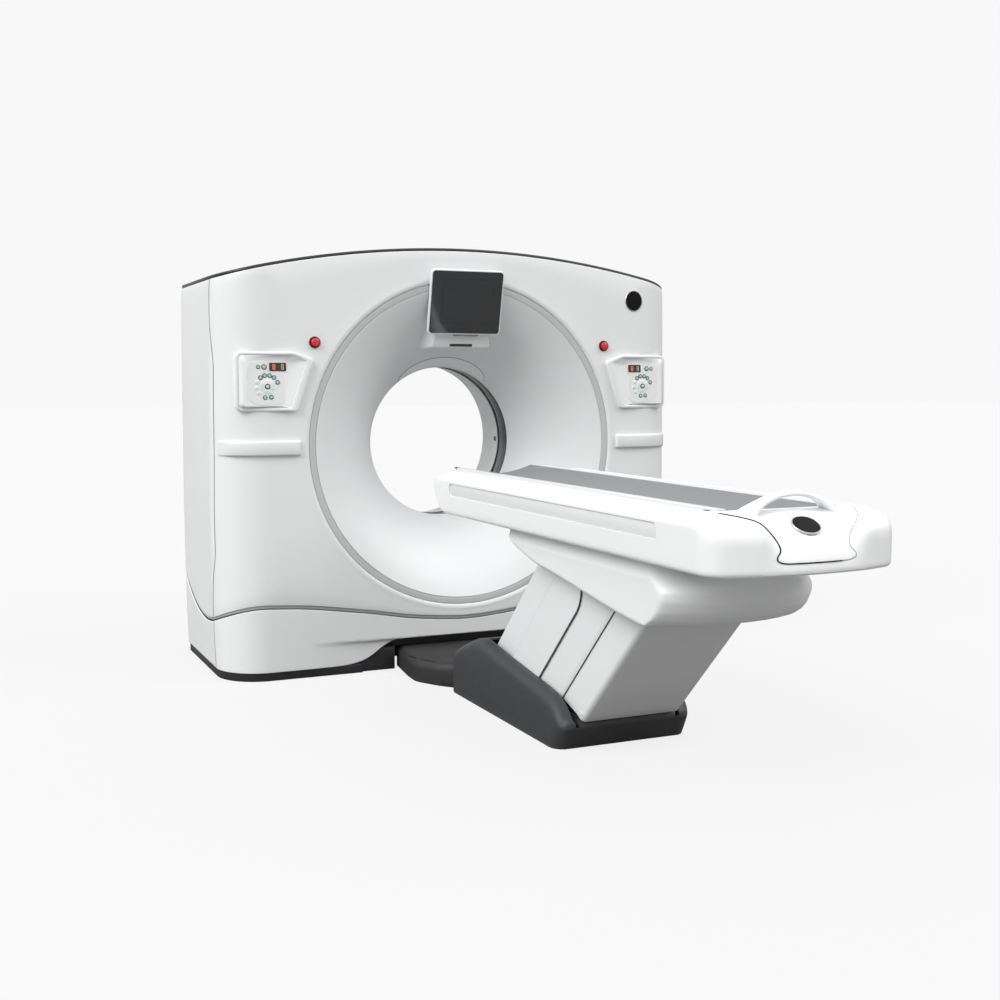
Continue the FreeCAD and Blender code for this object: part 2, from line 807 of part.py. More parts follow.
side_pts = [
    (-1050, 26),
    (-1810, 26),
    (-1830, 50),
    (-1832, 104),
    (-1834, 113),
    (-1880, 124),
    (-1890, 140),
    (-1880, 156),
    (-1850, 158),
    (-1095, 158),
    (-1075, 152),
    (-1060, 148),
    (-1050, 132),
]
cheeks = []
for x0 in (-162.0, 150.0):
    cheeks.append(
        pad(
            "YZ",
            x0,
            12,
            side_pts,
        )
    )
pin_objs = []
for name, (py, pz, hw, _o) in strips.items():
    for s in (-1, 1):
        if name == "cover_strip_b":
            # the outermost strip hangs on brackets outside it, clear of the others
            pin_objs.append(box(222.0 if s > 0 else -234.0, 234.0 if s > 0 else -222.0, py - 28, py + 28, 20, 156))
            pin_objs.append(cyl("x", 208.0 if s > 0 else -228.0, py, pz, PINR, 20.0))
        else:
            x0 = 150.0 if s > 0 else -(hw + 1.0)
            pin_objs.append(cyl("x", x0, py, pz, PINR, hw + 1.0 - 150.0))
lug_y, lug_z = -1510.0, 50.0
act_lugs = [box(x, x + 10, lug_y - 22, lug_y + 22, 20, 68) for x in (-42.0, 32.0)]
shaft_holes = [
    cyl("x", -170, PIV1, PIVZ, SHAFT + 0.5, 340),
    cyl("x", -170, PIV2, PIVZ, SHAFT + 0.5, 340),
    cyl("x", -60, lug_y, lug_z, 8.4, 120),
]
tanch = [cyl("z", s * TANX, q, -5, TANR, 60) for s in (-1, 1) for q in (TAN0, TAN1)]
floor_plate = box(-240, 240, -1812, -842, 8, 26)
foot_pads = [box(s * TANX - 40, s * TANX + 40, q - 45, q + 45, 0, 10) for s in (-1, 1) for q in (TAN0, TAN1)]
node(
    "table_base_frame",
    cut(fuse(floor_plate, *(foot_pads + cheeks + pin_objs + act_lugs)), *(shaft_holes + tanch)),
)

tub_prof = [
    (Y(-440), 0),
    (Y(-435), 114),
    (Y(-502), 178),
    (Y(-631), 236),
    (Y(-754), 271),
    (Y(-800), 264),
    (Y(-930), 242),
    (Y(-1190), 207),
    (Y(-1380), 180),
    (Y(-1430), 150),
    (Y(-1472), 108),
    (Y(-1486), 80),
    (Y(-1455), 0),
]
tub_in = [
    (Y(-447), -5),
    (Y(-442), 112),
    (Y(-506), 172),
    (Y(-633), 229),
    (Y(-753), 264),
    (Y(-800), 257),
    (Y(-930), 235),
    (Y(-1190), 200),
    (Y(-1378), 173),
    (Y(-1426), 144),
    (Y(-1466), 105),
    (Y(-1479), 80),
    (Y(-1448), -5),
]
tub_plan = rounded_plan(-BW, BW, Y(-1500), Y(-430), 60, -1, 300)
tub_hole = rounded_plan(7 - BW, BW - 7, Y(-1493), Y(-437), 53, -6, 300)
node(
    "table_base_cover",
    cut(
        common(pad("YZ", -BW, BW * 2, tub_prof), tub_plan),
        common(pad("YZ", 6 - BW, BW * 2 - 12, tub_in), tub_hole),
        box(-217, 217, Y(-1520), Y(-755), 104, 320),
        box(198, 217, Y(-1520), Y(-1440), 86, 320),
        box(-217, -198, Y(-1520), Y(-1440), 86, 320),
    ),
)

# -------------------------------------------------------- links and their drive
R45 = Rotation(Vector(1, 0, 0), -LEAN)


def along_link(py, pz, parts):
    """Turns pieces drawn lying along -Y from the pivot up to the links' lean."""
    o = fuse(*parts)
    o.Placement = Placement(Vector(0, num(py), num(pz)), R45)
    bind(o, "Placement.Base.y", py)
    bind(o, "Placement.Base.z", pz)
    return o


def link_parts():
    out = []
    for x0 in (-145, 120):
        out.append(box(x0, x0 + 25, -LINK, 0, -30, 30))
        out.append(cyl("x", x0, 0, 0, 30, 25))
        out.append(cyl("x", x0, -LINK, 0, 30, 25))
    out.append(cyl("x", -140, 0, 0, 22, 280))
    out.append(cyl("x", -164, 0, 0, SHAFT, 328))
    out.append(cyl("x", -164, -LINK, 0, SHAFT, 44))
    out.append(cyl("x", 120, -LINK, 0, SHAFT, 44))
    out.append(cyl("x", -130, -LINK * 0.62, 0, 20, 260))
    return out


# The front link's crank: two cheeks on its torque tube and a pin between them,
# 140 along the link and 20 towards the gantry.
crank = [
    box(-30, -20, -160, 0, -18, 36),
    box(20, 30, -160, 0, -18, 36),
    cyl("x", -25, -140, 20, 8, 50),
]
node("front_link", along_link(PIV1, PIVZ, link_parts() + crank))
node("rear_link", along_link(PIV2, PIVZ, link_parts()))

# Lift actuator: its body swings on the base and its rod drives the crank pin
# through an eye wide enough to take up the linkage's small departure.
c45 = math.cos(math.radians(45.0))
cp = (num(PIV1) - 140 * c45 + 20 * c45, num(PIVZ) + 140 * c45 + 20 * c45)
A0 = math.degrees(math.atan2(cp[1] - lug_z, cp[0] - lug_y))
L0 = math.hypot(cp[0] - lug_y, cp[1] - lug_z)
arot = Rotation(Vector(1, 0, 0), A0)


def along_actuator(parts):
    o = parts if not isinstance(parts, list) else fuse(*parts)
    o.Placement = Placement(Vector(0, lug_y, lug_z), arot)
    return o


node(
    "lift_actuator_body",
    along_actuator(
        cut(
            fuse(
                cyl("x", -31, 0, 0, 16, 62),
                cyl("x", -41, 0, 0, 8, 82),
                cyl("y", 0, 0, 0, 24, 200),
            ),
            cyl("y", 0, 18, 0, 12.5, 190),
        )
    ),
)
node(
    "lift_actuator_rod",
    along_actuator(
        cut(
            fuse(cyl("y", 0, 110, 0, 12, L0 - 110 - 15), cyl("x", -15, L0, 0, 24, 30)),
            cyl("x", -20, L0, 0, 15, 40),
        )
    ),
)

# ------------------------------------------------------------- cover strips
for name, (py, pz, hw, outline) in strips.items():
    pts = [at45(py, pz, s, n) for s, n in outline]
    outer = pad("YZ", -hw, 2 * hw, pts)
    t = num(SHEET)
    if name == "cover_strip_a":
        # open on the table's foot side: an U with its web towards the gantry
        inner = [at45(py, pz, s, n) for s, n in [(-40, 37.5 - t), (-40, -120), (800, -120), (800, 37.5 - t)]]
    elif name == "cover_strip_d":
        inner = [at45(py, pz, s, n) for s, n in [(-110, 150), (-110, -28 + t), (690, -28 + t), (690, 150)]]
    else:
        inner = [at45(py, pz, s, n) for s, n in [(-60, 70), (-60, -170), (880, -170), (880, 70)]]
    hollow = pad("YZ", -hw + t, 2 * hw - 2 * t, inner)
    node(name, cut(outer, hollow, cyl("x", -hw - 5, py, pz, PINR + 0.4, 2 * hw + 10)))

# ------------------------------------------------------------ saddle shroud
sh = [
    (-1040, 756.5),
    (-1040, 737),
    (-1074, 701),
    (-1136, 678),
    (-1205, 661),
    (-1287, 641),
    (-1424, 625),
    (-1639, 594),
    (-1849, 564),
    (-2028, 545),
    (-2130, 545),
    (-2200, 565),
    (-2240, 620),
    (-2258, 700),
    (-2262, 756.5),
]
sh_out = [(Y(y), z) for y, z in sh]
shi = [
    (-1046, 770),
    (-1046, 500),
    (-1990, 500),
    (-1990, 551),
    (-2128, 551),
    (-2195, 570),
    (-2234, 622),
    (-2252, 700),
    (-2256, 770),
]
sh_in = [(Y(y), z) for y, z in shi]
node(
    "saddle_shroud",
    cut(
        pad("YZ", -SHW, SHW * 2, sh_out),
        pad("YZ", 5 - SHW, SHW * 2 - 10, sh_in),
    ),
)

# --------------------------------------------------------------- tabletop
kc = num(LINK) * math.cos(math.radians(LEAN))
ks = num(LINK) * math.sin(math.radians(LEAN))
ty1, ty2 = num(PIV1) - kc, num(PIV2) - kc
tz = num(PIVZ) + ks
hang = []
for ty in (ty1, ty2):
    for x0 in (-162, 150):
        hang.append(
            cut(
                pad("YZ", x0, 12, [(ty - 35, tz - 35), (ty + 35, tz - 35), (ty + 35, 795), (ty - 35, 795)]),
                cyl("x", x0 - 5, ty, tz, SHAFT + 0.5, 22),
            )
        )
node(
    "tabletop_frame",
    fuse(
        box(-210, -140, Y(-2380), Y(-520), 790, 845),
        box(140, 210, Y(-2380), Y(-520), 790, 845),
        box(-150, 150, Y(-600), Y(-520), 800, 845),
        box(-150, 150, Y(-1420), Y(-1320), 800, 845),
        box(-150, 150, Y(-1990), Y(-1890), 800, 845),
        box(-150, 150, Y(-2380), Y(-2300), 800, 845),
        box(-60, -20, Y(-2370), Y(-480), 840, 860),
        box(20, 60, Y(-2370), Y(-480), 840, 860),
        *hang,
    ),
)
top_side = [
    (Y(-2440), TB + 0),
    (Y(-500), TB + 0),
    (Y(-430), TB + 40),
    (Y(-407), TB + 100),
    (Y(-425), TT - 20),
    (Y(-470), TT + 0),
    (Y(-2380), TT + 2),
    (Y(-2500), TT - 40),
    (Y(-2560), TT - 92),
    (Y(-2562), TB + 50),
    (Y(-2530), TB + 10),
]
top_in = [
    (Y(-2438), TB + 6),
    (Y(-502), TB + 6),
    (Y(-435), TB + 43),
    (Y(-413), TB + 101),
    (Y(-430), TT - 25),
    (Y(-472), TT - 6),
    (Y(-2378), TT - 4),
    (Y(-2496), TT - 45),
    (Y(-2554), TT - 95),
    (Y(-2556), TB + 52),
    (Y(-2526), TB + 15),
]
top_solid = common(
    pad("YZ", -TW, TW * 2, top_side),
    rounded_plan(-TW, TW, Y(-2562), Y(-400), TPR, TB - 5, 200),
)
top_hollow = common(
    pad("YZ", 6 - TW, TW * 2 - 12, top_in),
    rounded_plan(6 - TW, TW - 6, Y(-2556), Y(-406), TPR - 6, TB - 5, 200),
)
top_shell = cut(
    top_solid,
    top_hollow,
    box(-TROU, TROU, Y(-2383), Y(-380), 850, 960),
    box(-225, 225, Y(-2200), Y(-1080), TB - 10, TB + 20),
)
panel_zone = box(-200, 200, Y(-2600), Y(-2385), TB + 33, 1000)
node("tabletop_cover", cut(top_shell, box(-202, 202, Y(-2600), Y(-2384), TB + 31, 1000)))
node("end_panel", common(top_shell, panel_zone))

# Hoop handle over the foot end: an arched blade with a finger gap under it.
hoop_out = pad("XZ", Y(-2430), 40, [(-215, 905), (215, 905), (0, 982)], {1: (338.7, -1), 2: (338.7, -1)})
hoop_gap = pad("XZ", Y(-2440), 60, [(-180, 890), (180, 890), (180, 905), (0, 966), (-180, 905)], {2: (296.1, -1), 3: (296.1, -1)})
hoop_feet = common(
    fuse(box(-215, -180, Y(-2470), Y(-2392), 880, 935), box(180, 215, Y(-2470), Y(-2392), 880, 935)),
    pad("XZ", Y(-2480), 100, [(-215, 880), (215, 880), (215, 905), (0, 982), (-215, 905)], {2: (338.7, -1), 3: (338.7, -1)}),
)
node("hoop_handle", cut(fuse(cut(hoop_out, hoop_gap), hoop_feet), top_solid))

# --------------------------------------------------------- cradle and mat


cradle_sec = [
    (MATW, CRE - MATT),
    (-MATW, CRE - MATT),
    (-MATW, CRE + 0),
    (-CRW, CRE - 5),
    (-CRW, CRE - 26),
    (CRW + 0, CRE - 26),
    (CRW + 0, CRE - 5),
    (MATW + 0, CRE + 0),
]
node(
    "cradle",
    pad("XZ", CR1, CR0 - CR1, cradle_sec, {0: (CRR, 1), 4: (CRR + 60, -1)}),
)
mat_sec = [
    (MATW - 0.5, CRE + 0.5),
    (0.5 - MATW, CRE + 0.5),
    (0.5 - MATW, CRE - MATT + 0.6),
    (MATW - 0.5, CRE - MATT + 0.6),
]
node("mat", pad("XZ", CR1 + 5, CR0 - CR1 - 10, mat_sec, {0: (CRR, 1), 2: (CRR, -1)}))

# -------------------------------------------------------------- write files
doc.recompute()
bad = []
for o in doc.Objects:
    if "Invalid" in o.State or "Error" in o.State:
        bad.append((o.Name, o.Label, o.State))
for o in nodes:
    s = o.Shape
    if s.isNull() or not s.isValid() or s.Volume <= 0:
        bad.append((o.Label, "shape"))
for o in nodes:
    s = o.Shape
    if s.isNull() or not s.Solids:
        continue
    bb = s.BoundBox
    print(
        "%-24s solids %d vol %.5f m3  x %.1f..%.1f y %.1f..%.1f z %.1f..%.1f"
        % (o.Label, len(s.Solids), s.Volume / 1e9, bb.XMin, bb.XMax, bb.YMin, bb.YMax, bb.ZMin, bb.ZMax)
    )
print("nodes", len(nodes))
if bad:
    for b in bad:
        print("BAD", b)
    raise SystemExit("some pieces failed")
labels = [o.Label for o in nodes]
assert len(set(labels)) == len(labels)
os.makedirs("parts", exist_ok=True)
for o in nodes:
    o.Shape.exportStep(os.path.join("parts", o.Label + ".step"))
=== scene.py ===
import bpy
import bmesh
import math
import json
from mathutils import Vector, Matrix
from mathutils.bvhtree import BVHTree

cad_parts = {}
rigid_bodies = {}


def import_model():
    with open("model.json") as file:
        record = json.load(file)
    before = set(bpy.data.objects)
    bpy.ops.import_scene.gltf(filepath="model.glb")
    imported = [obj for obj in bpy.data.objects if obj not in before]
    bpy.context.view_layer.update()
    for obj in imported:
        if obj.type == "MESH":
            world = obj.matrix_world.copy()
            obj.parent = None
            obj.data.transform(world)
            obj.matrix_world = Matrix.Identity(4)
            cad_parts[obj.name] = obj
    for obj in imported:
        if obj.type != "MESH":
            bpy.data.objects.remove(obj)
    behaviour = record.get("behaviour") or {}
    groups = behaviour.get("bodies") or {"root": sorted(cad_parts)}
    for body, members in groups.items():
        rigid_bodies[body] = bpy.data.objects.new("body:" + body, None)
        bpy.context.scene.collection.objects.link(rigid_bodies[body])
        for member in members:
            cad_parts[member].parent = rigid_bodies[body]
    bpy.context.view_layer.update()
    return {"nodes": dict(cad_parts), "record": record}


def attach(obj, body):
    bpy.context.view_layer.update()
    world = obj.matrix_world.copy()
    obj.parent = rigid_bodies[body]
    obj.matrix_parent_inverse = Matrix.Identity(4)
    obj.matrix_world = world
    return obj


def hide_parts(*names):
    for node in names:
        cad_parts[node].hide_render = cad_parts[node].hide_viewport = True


for _o in list(bpy.data.objects):
    bpy.data.objects.remove(_o)
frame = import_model()
NODES = frame["nodes"]
ISO = 1.009
# how bright the plain studio is
FLOOR_BOUNCE, FLOOR_SEEN, FLOOR_GLOW = 0.19, 0.09, 0.805
SKY_LOW, SKY_TOP, SKY_SIDE = 0.34, 1.28, 0.08
LEFT, RIGHT = 2.05, 1.15
FACE = -0.370


def F(y):
    """A distance behind the gantry's front face, as a place along the bore."""
    return FACE + y


def lerp(a, b, t):
    return a + (b - a) * t


def clamp(t, a=0.0, b=1.0):
    return max(a, min(b, t))


def sstep(a, b, x):
    t = clamp((x - a) / (b - a))
    return t * t * (3 - 2 * t)


def table(pts):
    """A smooth function through (x, y) points, with level ends."""
    xs = [p[0] for p in pts]
    ys = [p[1] for p in pts]
    n = len(pts)
    m = [0.0] * n
    for i in range(1, n - 1):
        a = (ys[i] - ys[i - 1]) / (xs[i] - xs[i - 1])
        b = (ys[i + 1] - ys[i]) / (xs[i + 1] - xs[i])
        m[i] = 0.0 if a * b <= 0 else 2 * a * b / (a + b)

    def f(x):
        if x <= xs[0]:
            return ys[0]
        if x >= xs[-1]:
            return ys[-1]
        i = 0
        while x > xs[i + 1]:
            i += 1
        h = xs[i + 1] - xs[i]
        t = (x - xs[i]) / h
        return (
            (2 * t**3 - 3 * t**2 + 1) * ys[i]
            + (t**3 - 2 * t**2 + t) * h * m[i]
            + (-2 * t**3 + 3 * t**2) * ys[i + 1]
            + (t**3 - t**2) * h * m[i + 1]
        )

    return f


# ------------------------------------------------------------------ materials


def _new(name):
    m = bpy.data.materials.new(name)
    m.use_nodes = True
    nt = m.node_tree
    return m, nt, nt.nodes["Principled BSDF"]


def surface(
    name,
    col,
    rough=0.4,
    spread=0.05,
    metal=0.0,
    coat=0.0,
    coat_rough=0.15,
    grain=700.0,
    bump=0.05,
    bump_dist=0.0004,
    patch=1.2,
    tint=0.015,
    specular=0.5,
    edge=0.0,
):
    """A moulded or painted finish: a faint broad colour drift, uneven gloss,
    a fine grain and, where asked, lighter worn edges."""
    m, nt, b = _new(name)
    N, L = nt.nodes, nt.links
    b.inputs["Metallic"].default_value = metal
    b.inputs["Coat Weight"].default_value = coat
    b.inputs["Coat Roughness"].default_value = coat_rough
    b.inputs["Specular IOR Level"].default_value = specular
    tc = N.new("ShaderNodeTexCoord")
    big = N.new("ShaderNodeTexNoise")
    big.inputs["Scale"].default_value = patch
    big.inputs["Detail"].default_value = 3.0
    L.new(tc.outputs["Object"], big.inputs["Vector"])
    ramp = N.new("ShaderNodeValToRGB")
    lo = [max(0.0, c * (1 - tint)) for c in col]
    hi = [min(1.0, c * (1 + tint)) for c in col]
    ramp.color_ramp.elements[0].position = 0.3
    ramp.color_ramp.elements[0].color = (*lo, 1)
    ramp.color_ramp.elements[1].position = 0.7
    ramp.color_ramp.elements[1].color = (*hi, 1)
    L.new(big.outputs["Fac"], ramp.inputs["Fac"])
    colour = ramp.outputs["Color"]
    if edge > 0:
        geo = N.new("ShaderNodeNewGeometry")
        er = N.new("ShaderNodeValToRGB")
        er.color_ramp.elements[0].position = 0.52
        er.color_ramp.elements[1].position = 0.62
        L.new(geo.outputs["Pointiness"], er.inputs["Fac"])
        wear = N.new("ShaderNodeTexNoise")
        wear.inputs["Scale"].default_value = 60.0
        L.new(tc.outputs["Object"], wear.inputs["Vector"])
        mul = N.new("ShaderNodeMath")
        mul.operation = "MULTIPLY"
        L.new(er.outputs["Color"], mul.inputs[0])
        L.new(wear.outputs["Fac"], mul.inputs[1])
        mx = N.new("ShaderNodeMix")
        mx.data_type = "RGBA"
        mx.inputs[7].default_value = (*[min(1.0, c * (1 + edge) + 0.04 * edge) for c in col], 1)
        L.new(mul.outputs[0], mx.inputs[0])
        L.new(colour, mx.inputs[6])
        colour = mx.outputs[2]
    L.new(colour, b.inputs["Base Color"])
    fine = N.new("ShaderNodeTexNoise")
    fine.inputs["Scale"].default_value = 9.0
    fine.inputs["Detail"].default_value = 6.0
    L.new(tc.outputs["Object"], fine.inputs["Vector"])
    mr = N.new("ShaderNodeMapRange")
    mr.inputs["From Min"].default_value = 0.3
    mr.inputs["From Max"].default_value = 0.7
    mr.inputs["To Min"].default_value = max(0.02, rough - spread)
    mr.inputs["To Max"].default_value = min(1.0, rough + spread)
    L.new(fine.outputs["Fac"], mr.inputs["Value"])
    L.new(mr.outputs["Result"], b.inputs["Roughness"])
    if bump > 0:
        g = N.new("ShaderNodeTexNoise")
        g.inputs["Scale"].default_value = grain
        g.inputs["Detail"].default_value = 2.0
        L.new(tc.outputs["Object"], g.inputs["Vector"])
        bp = N.new("ShaderNodeBump")
        bp.inputs["Strength"].default_value = bump
        bp.inputs["Distance"].default_value = bump_dist
        L.new(g.outputs["Fac"], bp.inputs["Height"])
        L.new(bp.outputs["Normal"], b.inputs["Normal"])
    return m


def brushed(name, col, rough=0.32, stretch=(2, 400, 400)):
    m, nt, b = _new(name)
    N, L = nt.nodes, nt.links
    b.inputs["Metallic"].default_value = 1.0
    tc = N.new("ShaderNodeTexCoord")
    mp = N.new("ShaderNodeMapping")
    mp.inputs["Scale"].default_value = stretch
    L.new(tc.outputs["Object"], mp.inputs["Vector"])
    n = N.new("ShaderNodeTexNoise")
    n.inputs["Scale"].default_value = 1.0
    n.inputs["Detail"].default_value = 5.0
    L.new(mp.outputs["Vector"], n.inputs["Vector"])
    r = N.new("ShaderNodeValToRGB")
    r.color_ramp.elements[0].position = 0.3
    r.color_ramp.elements[0].color = (*[c * 0.85 for c in col], 1)
    r.color_ramp.elements[1].position = 0.7
    r.color_ramp.elements[1].color = (*col, 1)
    L.new(n.outputs["Fac"], r.inputs["Fac"])
    L.new(r.outputs["Color"], b.inputs["Base Color"])
    mr = N.new("ShaderNodeMapRange")
    mr.inputs["To Min"].default_value = rough - 0.08
    mr.inputs["To Max"].default_value = rough + 0.1
    L.new(n.outputs["Fac"], mr.inputs["Value"])
    L.new(mr.outputs["Result"], b.inputs["Roughness"])
    bp = N.new("ShaderNodeBump")
    bp.inputs["Strength"].default_value = 0.06
    bp.inputs["Distance"].default_value = 0.0003
    L.new(n.outputs["Fac"], bp.inputs["Height"])
    L.new(bp.outputs["Normal"], b.inputs["Normal"])
    return m


def vinyl(name, col):
    """Foam under vinyl: leather grain, soft sheen and painted shade, the colour a little darker in the hollows of the
    broad bump.
    """
    m, nt, b = _new(name)
    N, L = nt.nodes, nt.links
    b.inputs["Sheen Weight"].default_value = 0.15
    b.inputs["Specular IOR Level"].default_value = 0.4
    tc = N.new("ShaderNodeTexCoord")
    v = N.new("ShaderNodeTexVoronoi")
    v.inputs["Scale"].default_value = 420.0
    L.new(tc.outputs["Object"], v.inputs["Vector"])
    n = N.new("ShaderNodeTexNoise")
    n.inputs["Scale"].default_value = 5.0
    n.inputs["Detail"].default_value = 4.0
    L.new(tc.outputs["Object"], n.inputs["Vector"])
    # painted shade: the noise that sinks the broad bump below also darkens the colour, so the hollows come out darker
    r = N.new("ShaderNodeValToRGB")
    r.color_ramp.elements[0].position = 0.3
    r.color_ramp.elements[0].color = (*[c * 0.95 for c in col], 1)
    r.color_ramp.elements[1].position = 0.7
    r.color_ramp.elements[1].color = (*[c * 1.03 for c in col], 1)
    L.new(n.outputs["Fac"], r.inputs["Fac"])
    L.new(r.outputs["Color"], b.inputs["Base Color"])
    mr = N.new("ShaderNodeMapRange")
    mr.inputs["To Min"].default_value = 0.42
    mr.inputs["To Max"].default_value = 0.58
    L.new(n.outputs["Fac"], mr.inputs["Value"])
    L.new(mr.outputs["Result"], b.inputs["Roughness"])
    bp = N.new("ShaderNodeBump")
    bp.inputs["Strength"].default_value = 0.25
    bp.inputs["Distance"].default_value = 0.0005
    L.new(v.outputs["Distance"], bp.inputs["Height"])
    b2 = N.new("ShaderNodeBump")
    b2.inputs["Strength"].default_value = 0.25
    b2.inputs["Distance"].default_value = 0.004
    L.new(n.outputs["Fac"], b2.inputs["Height"])
    L.new(b2.outputs["Normal"], bp.inputs["Normal"])
    L.new(bp.outputs["Normal"], b.inputs["Normal"])
    return m


def lamp(name, col, strength):
    m, nt, b = _new(name)
    b.inputs["Base Color"].default_value = (*col, 1)
    b.inputs["Emission Color"].default_value = (*col, 1)
    b.inputs["Emission Strength"].default_value = strength
    b.inputs["Roughness"].default_value = 0.35
    return m


WHITE = surface("casing_white", (0.83, 0.835, 0.84), rough=0.36, spread=0.04, coat=0.15, coat_rough=0.25, grain=900, bump=0.04, bump_dist=0.0003)
WHITE_GLOSS = surface("moulded_white", (0.86, 0.865, 0.87), rough=0.34, spread=0.03, coat=0.2, coat_rough=0.2, grain=1100, bump=0.012, bump_dist=0.00015)
FUNNEL = surface("funnel_white", (0.80, 0.805, 0.81), rough=0.42, spread=0.05, coat=0.1, coat_rough=0.3, grain=900, bump=0.04, bump_dist=0.0003)
RINGGREY = surface("ring_grey", (0.56, 0.565, 0.57), rough=0.42, spread=0.05, grain=900, bump=0.06, bump_dist=0.0003)
PARTGREY = surface("part_grey", (0.36, 0.36, 0.365), rough=0.5, spread=0.05, grain=600, bump=0.06)
SEAMGREY = surface("seam_grey", (0.22, 0.22, 0.225), rough=0.55, spread=0.06, grain=500, bump=0.08)
BLACK = surface("trim_black", (0.018, 0.018, 0.02), rough=0.34, spread=0.06, grain=600, bump=0.08, bump_dist=0.0003, edge=0.8)
LINER = surface("liner_grey", (0.88, 0.885, 0.89), rough=0.4, spread=0.05, grain=800, bump=0.04)
FILM = surface("window_dark", (0.045, 0.05, 0.055), rough=0.16, spread=0.04, coat=0.5, coat_rough=0.06, grain=200, bump=0.02)
# A darker copy of the base's dark finish for the floor link: painted shade, because the link's top faces up and catches
# the light
BASE_SHADED_COPY = surface("base_dark_shaded_copy", (0.020, 0.020, 0.021), rough=0.6, spread=0.06, grain=520, bump=0.14, bump_dist=0.0005, edge=0.5, tint=0.05)
BASE = surface("base_dark", (0.040, 0.041, 0.043), rough=0.52, spread=0.07, grain=520, bump=0.16, bump_dist=0.0005, edge=0.5, tint=0.05)
SHEETW = surface("strip_white", (0.78, 0.785, 0.79), rough=0.4, spread=0.05, coat=0.1, coat_rough=0.3, grain=420, bump=0.06, bump_dist=0.0004)
BAR = surface("bar_grey", (0.80, 0.805, 0.81), rough=0.3, spread=0.05, coat=0.3, coat_rough=0.12, grain=900, bump=0.03)
STEELP = surface("frame_paint", (0.16, 0.175, 0.19), rough=0.45, spread=0.08, grain=260, bump=0.2, bump_dist=0.0006, edge=0.6, tint=0.06)
GREYP = surface("component_grey", (0.30, 0.305, 0.32), rough=0.42, spread=0.07, grain=260, bump=0.12, edge=0.4, tint=0.05)
BLACKP = surface("component_black", (0.03, 0.03, 0.033), rough=0.4, spread=0.07, grain=300, bump=0.15, edge=0.6)
BELT = surface("belt_rubber", (0.02, 0.02, 0.02), rough=0.75, spread=0.08, grain=180, bump=0.3)
KEYFILM = surface("keypad_film", (0.80, 0.815, 0.81), rough=0.3, spread=0.04, grain=900, bump=0.03)
RED = surface("stop_red", (0.72, 0.018, 0.016), rough=0.2, spread=0.05, coat=0.6, coat_rough=0.08, grain=500, bump=0.03, tint=0.05)
MAROON = surface("stop_collar", (0.09, 0.004, 0.006), rough=0.3, spread=0.05, coat=0.3, grain=500, bump=0.03, tint=0.05)
SCREEN = surface("screen_glass", (0.030, 0.031, 0.033), rough=0.13, spread=0.03, coat=0.7, coat_rough=0.05, grain=300, bump=0.0)
SCREEN2 = surface("screen_panel", (0.040, 0.041, 0.043), rough=0.24, spread=0.03, grain=300, bump=0.0)
INLAY = surface("side_inlay", (0.74, 0.745, 0.75), rough=0.45, spread=0.05, grain=700, bump=0.05)
CRADLE = surface("cradle_coat", (0.66, 0.67, 0.68), rough=0.32, spread=0.05, coat=0.25, coat_rough=0.15, grain=600, bump=0.04)
MAT = vinyl("mat_vinyl", (0.155, 0.158, 0.162))
STEEL = brushed("machined_steel", (0.56, 0.56, 0.57))
ALLOY = brushed("rotor_alloy", (0.66, 0.67, 0.68), rough=0.38)
BRASS = brushed("ring_brass", (0.78, 0.58, 0.28), rough=0.26, stretch=(300, 2, 300))
INK = surface("badge_dark", (0.006, 0.006, 0.007), rough=0.5, spread=0.04, specular=0.12, grain=500, bump=0.02)
SILVER = brushed("badge_rim", (0.72, 0.72, 0.73), rough=0.25)
KEYDARK = surface("key_ring", (0.055, 0.085, 0.08), rough=0.35, spread=0.04, grain=800, bump=0.02)
MINT = surface("key_mint", (0.42, 0.66, 0.60), rough=0.35, spread=0.04, grain=800, bump=0.02)
MINTL = surface("key_mint_light", (0.66, 0.80, 0.76), rough=0.35, spread=0.04, grain=800, bump=0.02)
OLIVE = surface("key_olive", (0.20, 0.20, 0.13), rough=0.35, spread=0.04, grain=800, bump=0.02)
LEDRED = lamp("digit_red", (0.85, 0.12, 0.05), 0.8)
LEDOLIVE = lamp("digit_olive", (0.42, 0.42, 0.22), 0.3)

SLOT_MAT = {
    "casing_white": WHITE,
    "trim_black": BLACK,
    "ring_grey": RINGGREY,
    "window_dark": FILM,
    "liner_grey": LINER,
    "display_white": WHITE_GLOSS,
    "screen_glass": SCREEN,
    "keypad_film": KEYFILM,
    "bar_grey": BAR,
    "stop_red": RED,
    "stop_collar": MAROON,
    "frame_steel": STEELP,
    "bright_steel": STEEL,
    "rotor_alloy": ALLOY,
    "ring_brass": BRASS,
    "component_grey": GREYP,
    "component_black": BLACKP,
    "belt_black": BELT,
    "base_dark": BASE,
    "strip_white": SHEETW,
    "shroud_white": WHITE,
    "hoop_white": WHITE_GLOSS,
    "cradle_shell": CRADLE,
    "mat_grey": MAT,
}
for sp in frame["record"]["subparts"]:
    ob = NODES[sp["node"]]
    ob.data.materials.clear()
    ob.data.materials.append(SLOT_MAT[sp["material_slot"]])

# --------------------------------------------------------------- mesh helpers


def finish_mesh(name, bm, mat, sharp=32.0, mats=None):
    me = bpy.data.meshes.new(name)
    bm.to_mesh(me)
    bm.free()
    for m in mats or [mat]:
        me.materials.append(m)
    me.polygons.foreach_set("use_smooth", [True] * len(me.polygons))
    me.set_sharp_from_angle(angle=math.radians(sharp))
    ob = bpy.data.objects.new(name, me)
    bpy.context.scene.collection.objects.link(ob)
    return ob


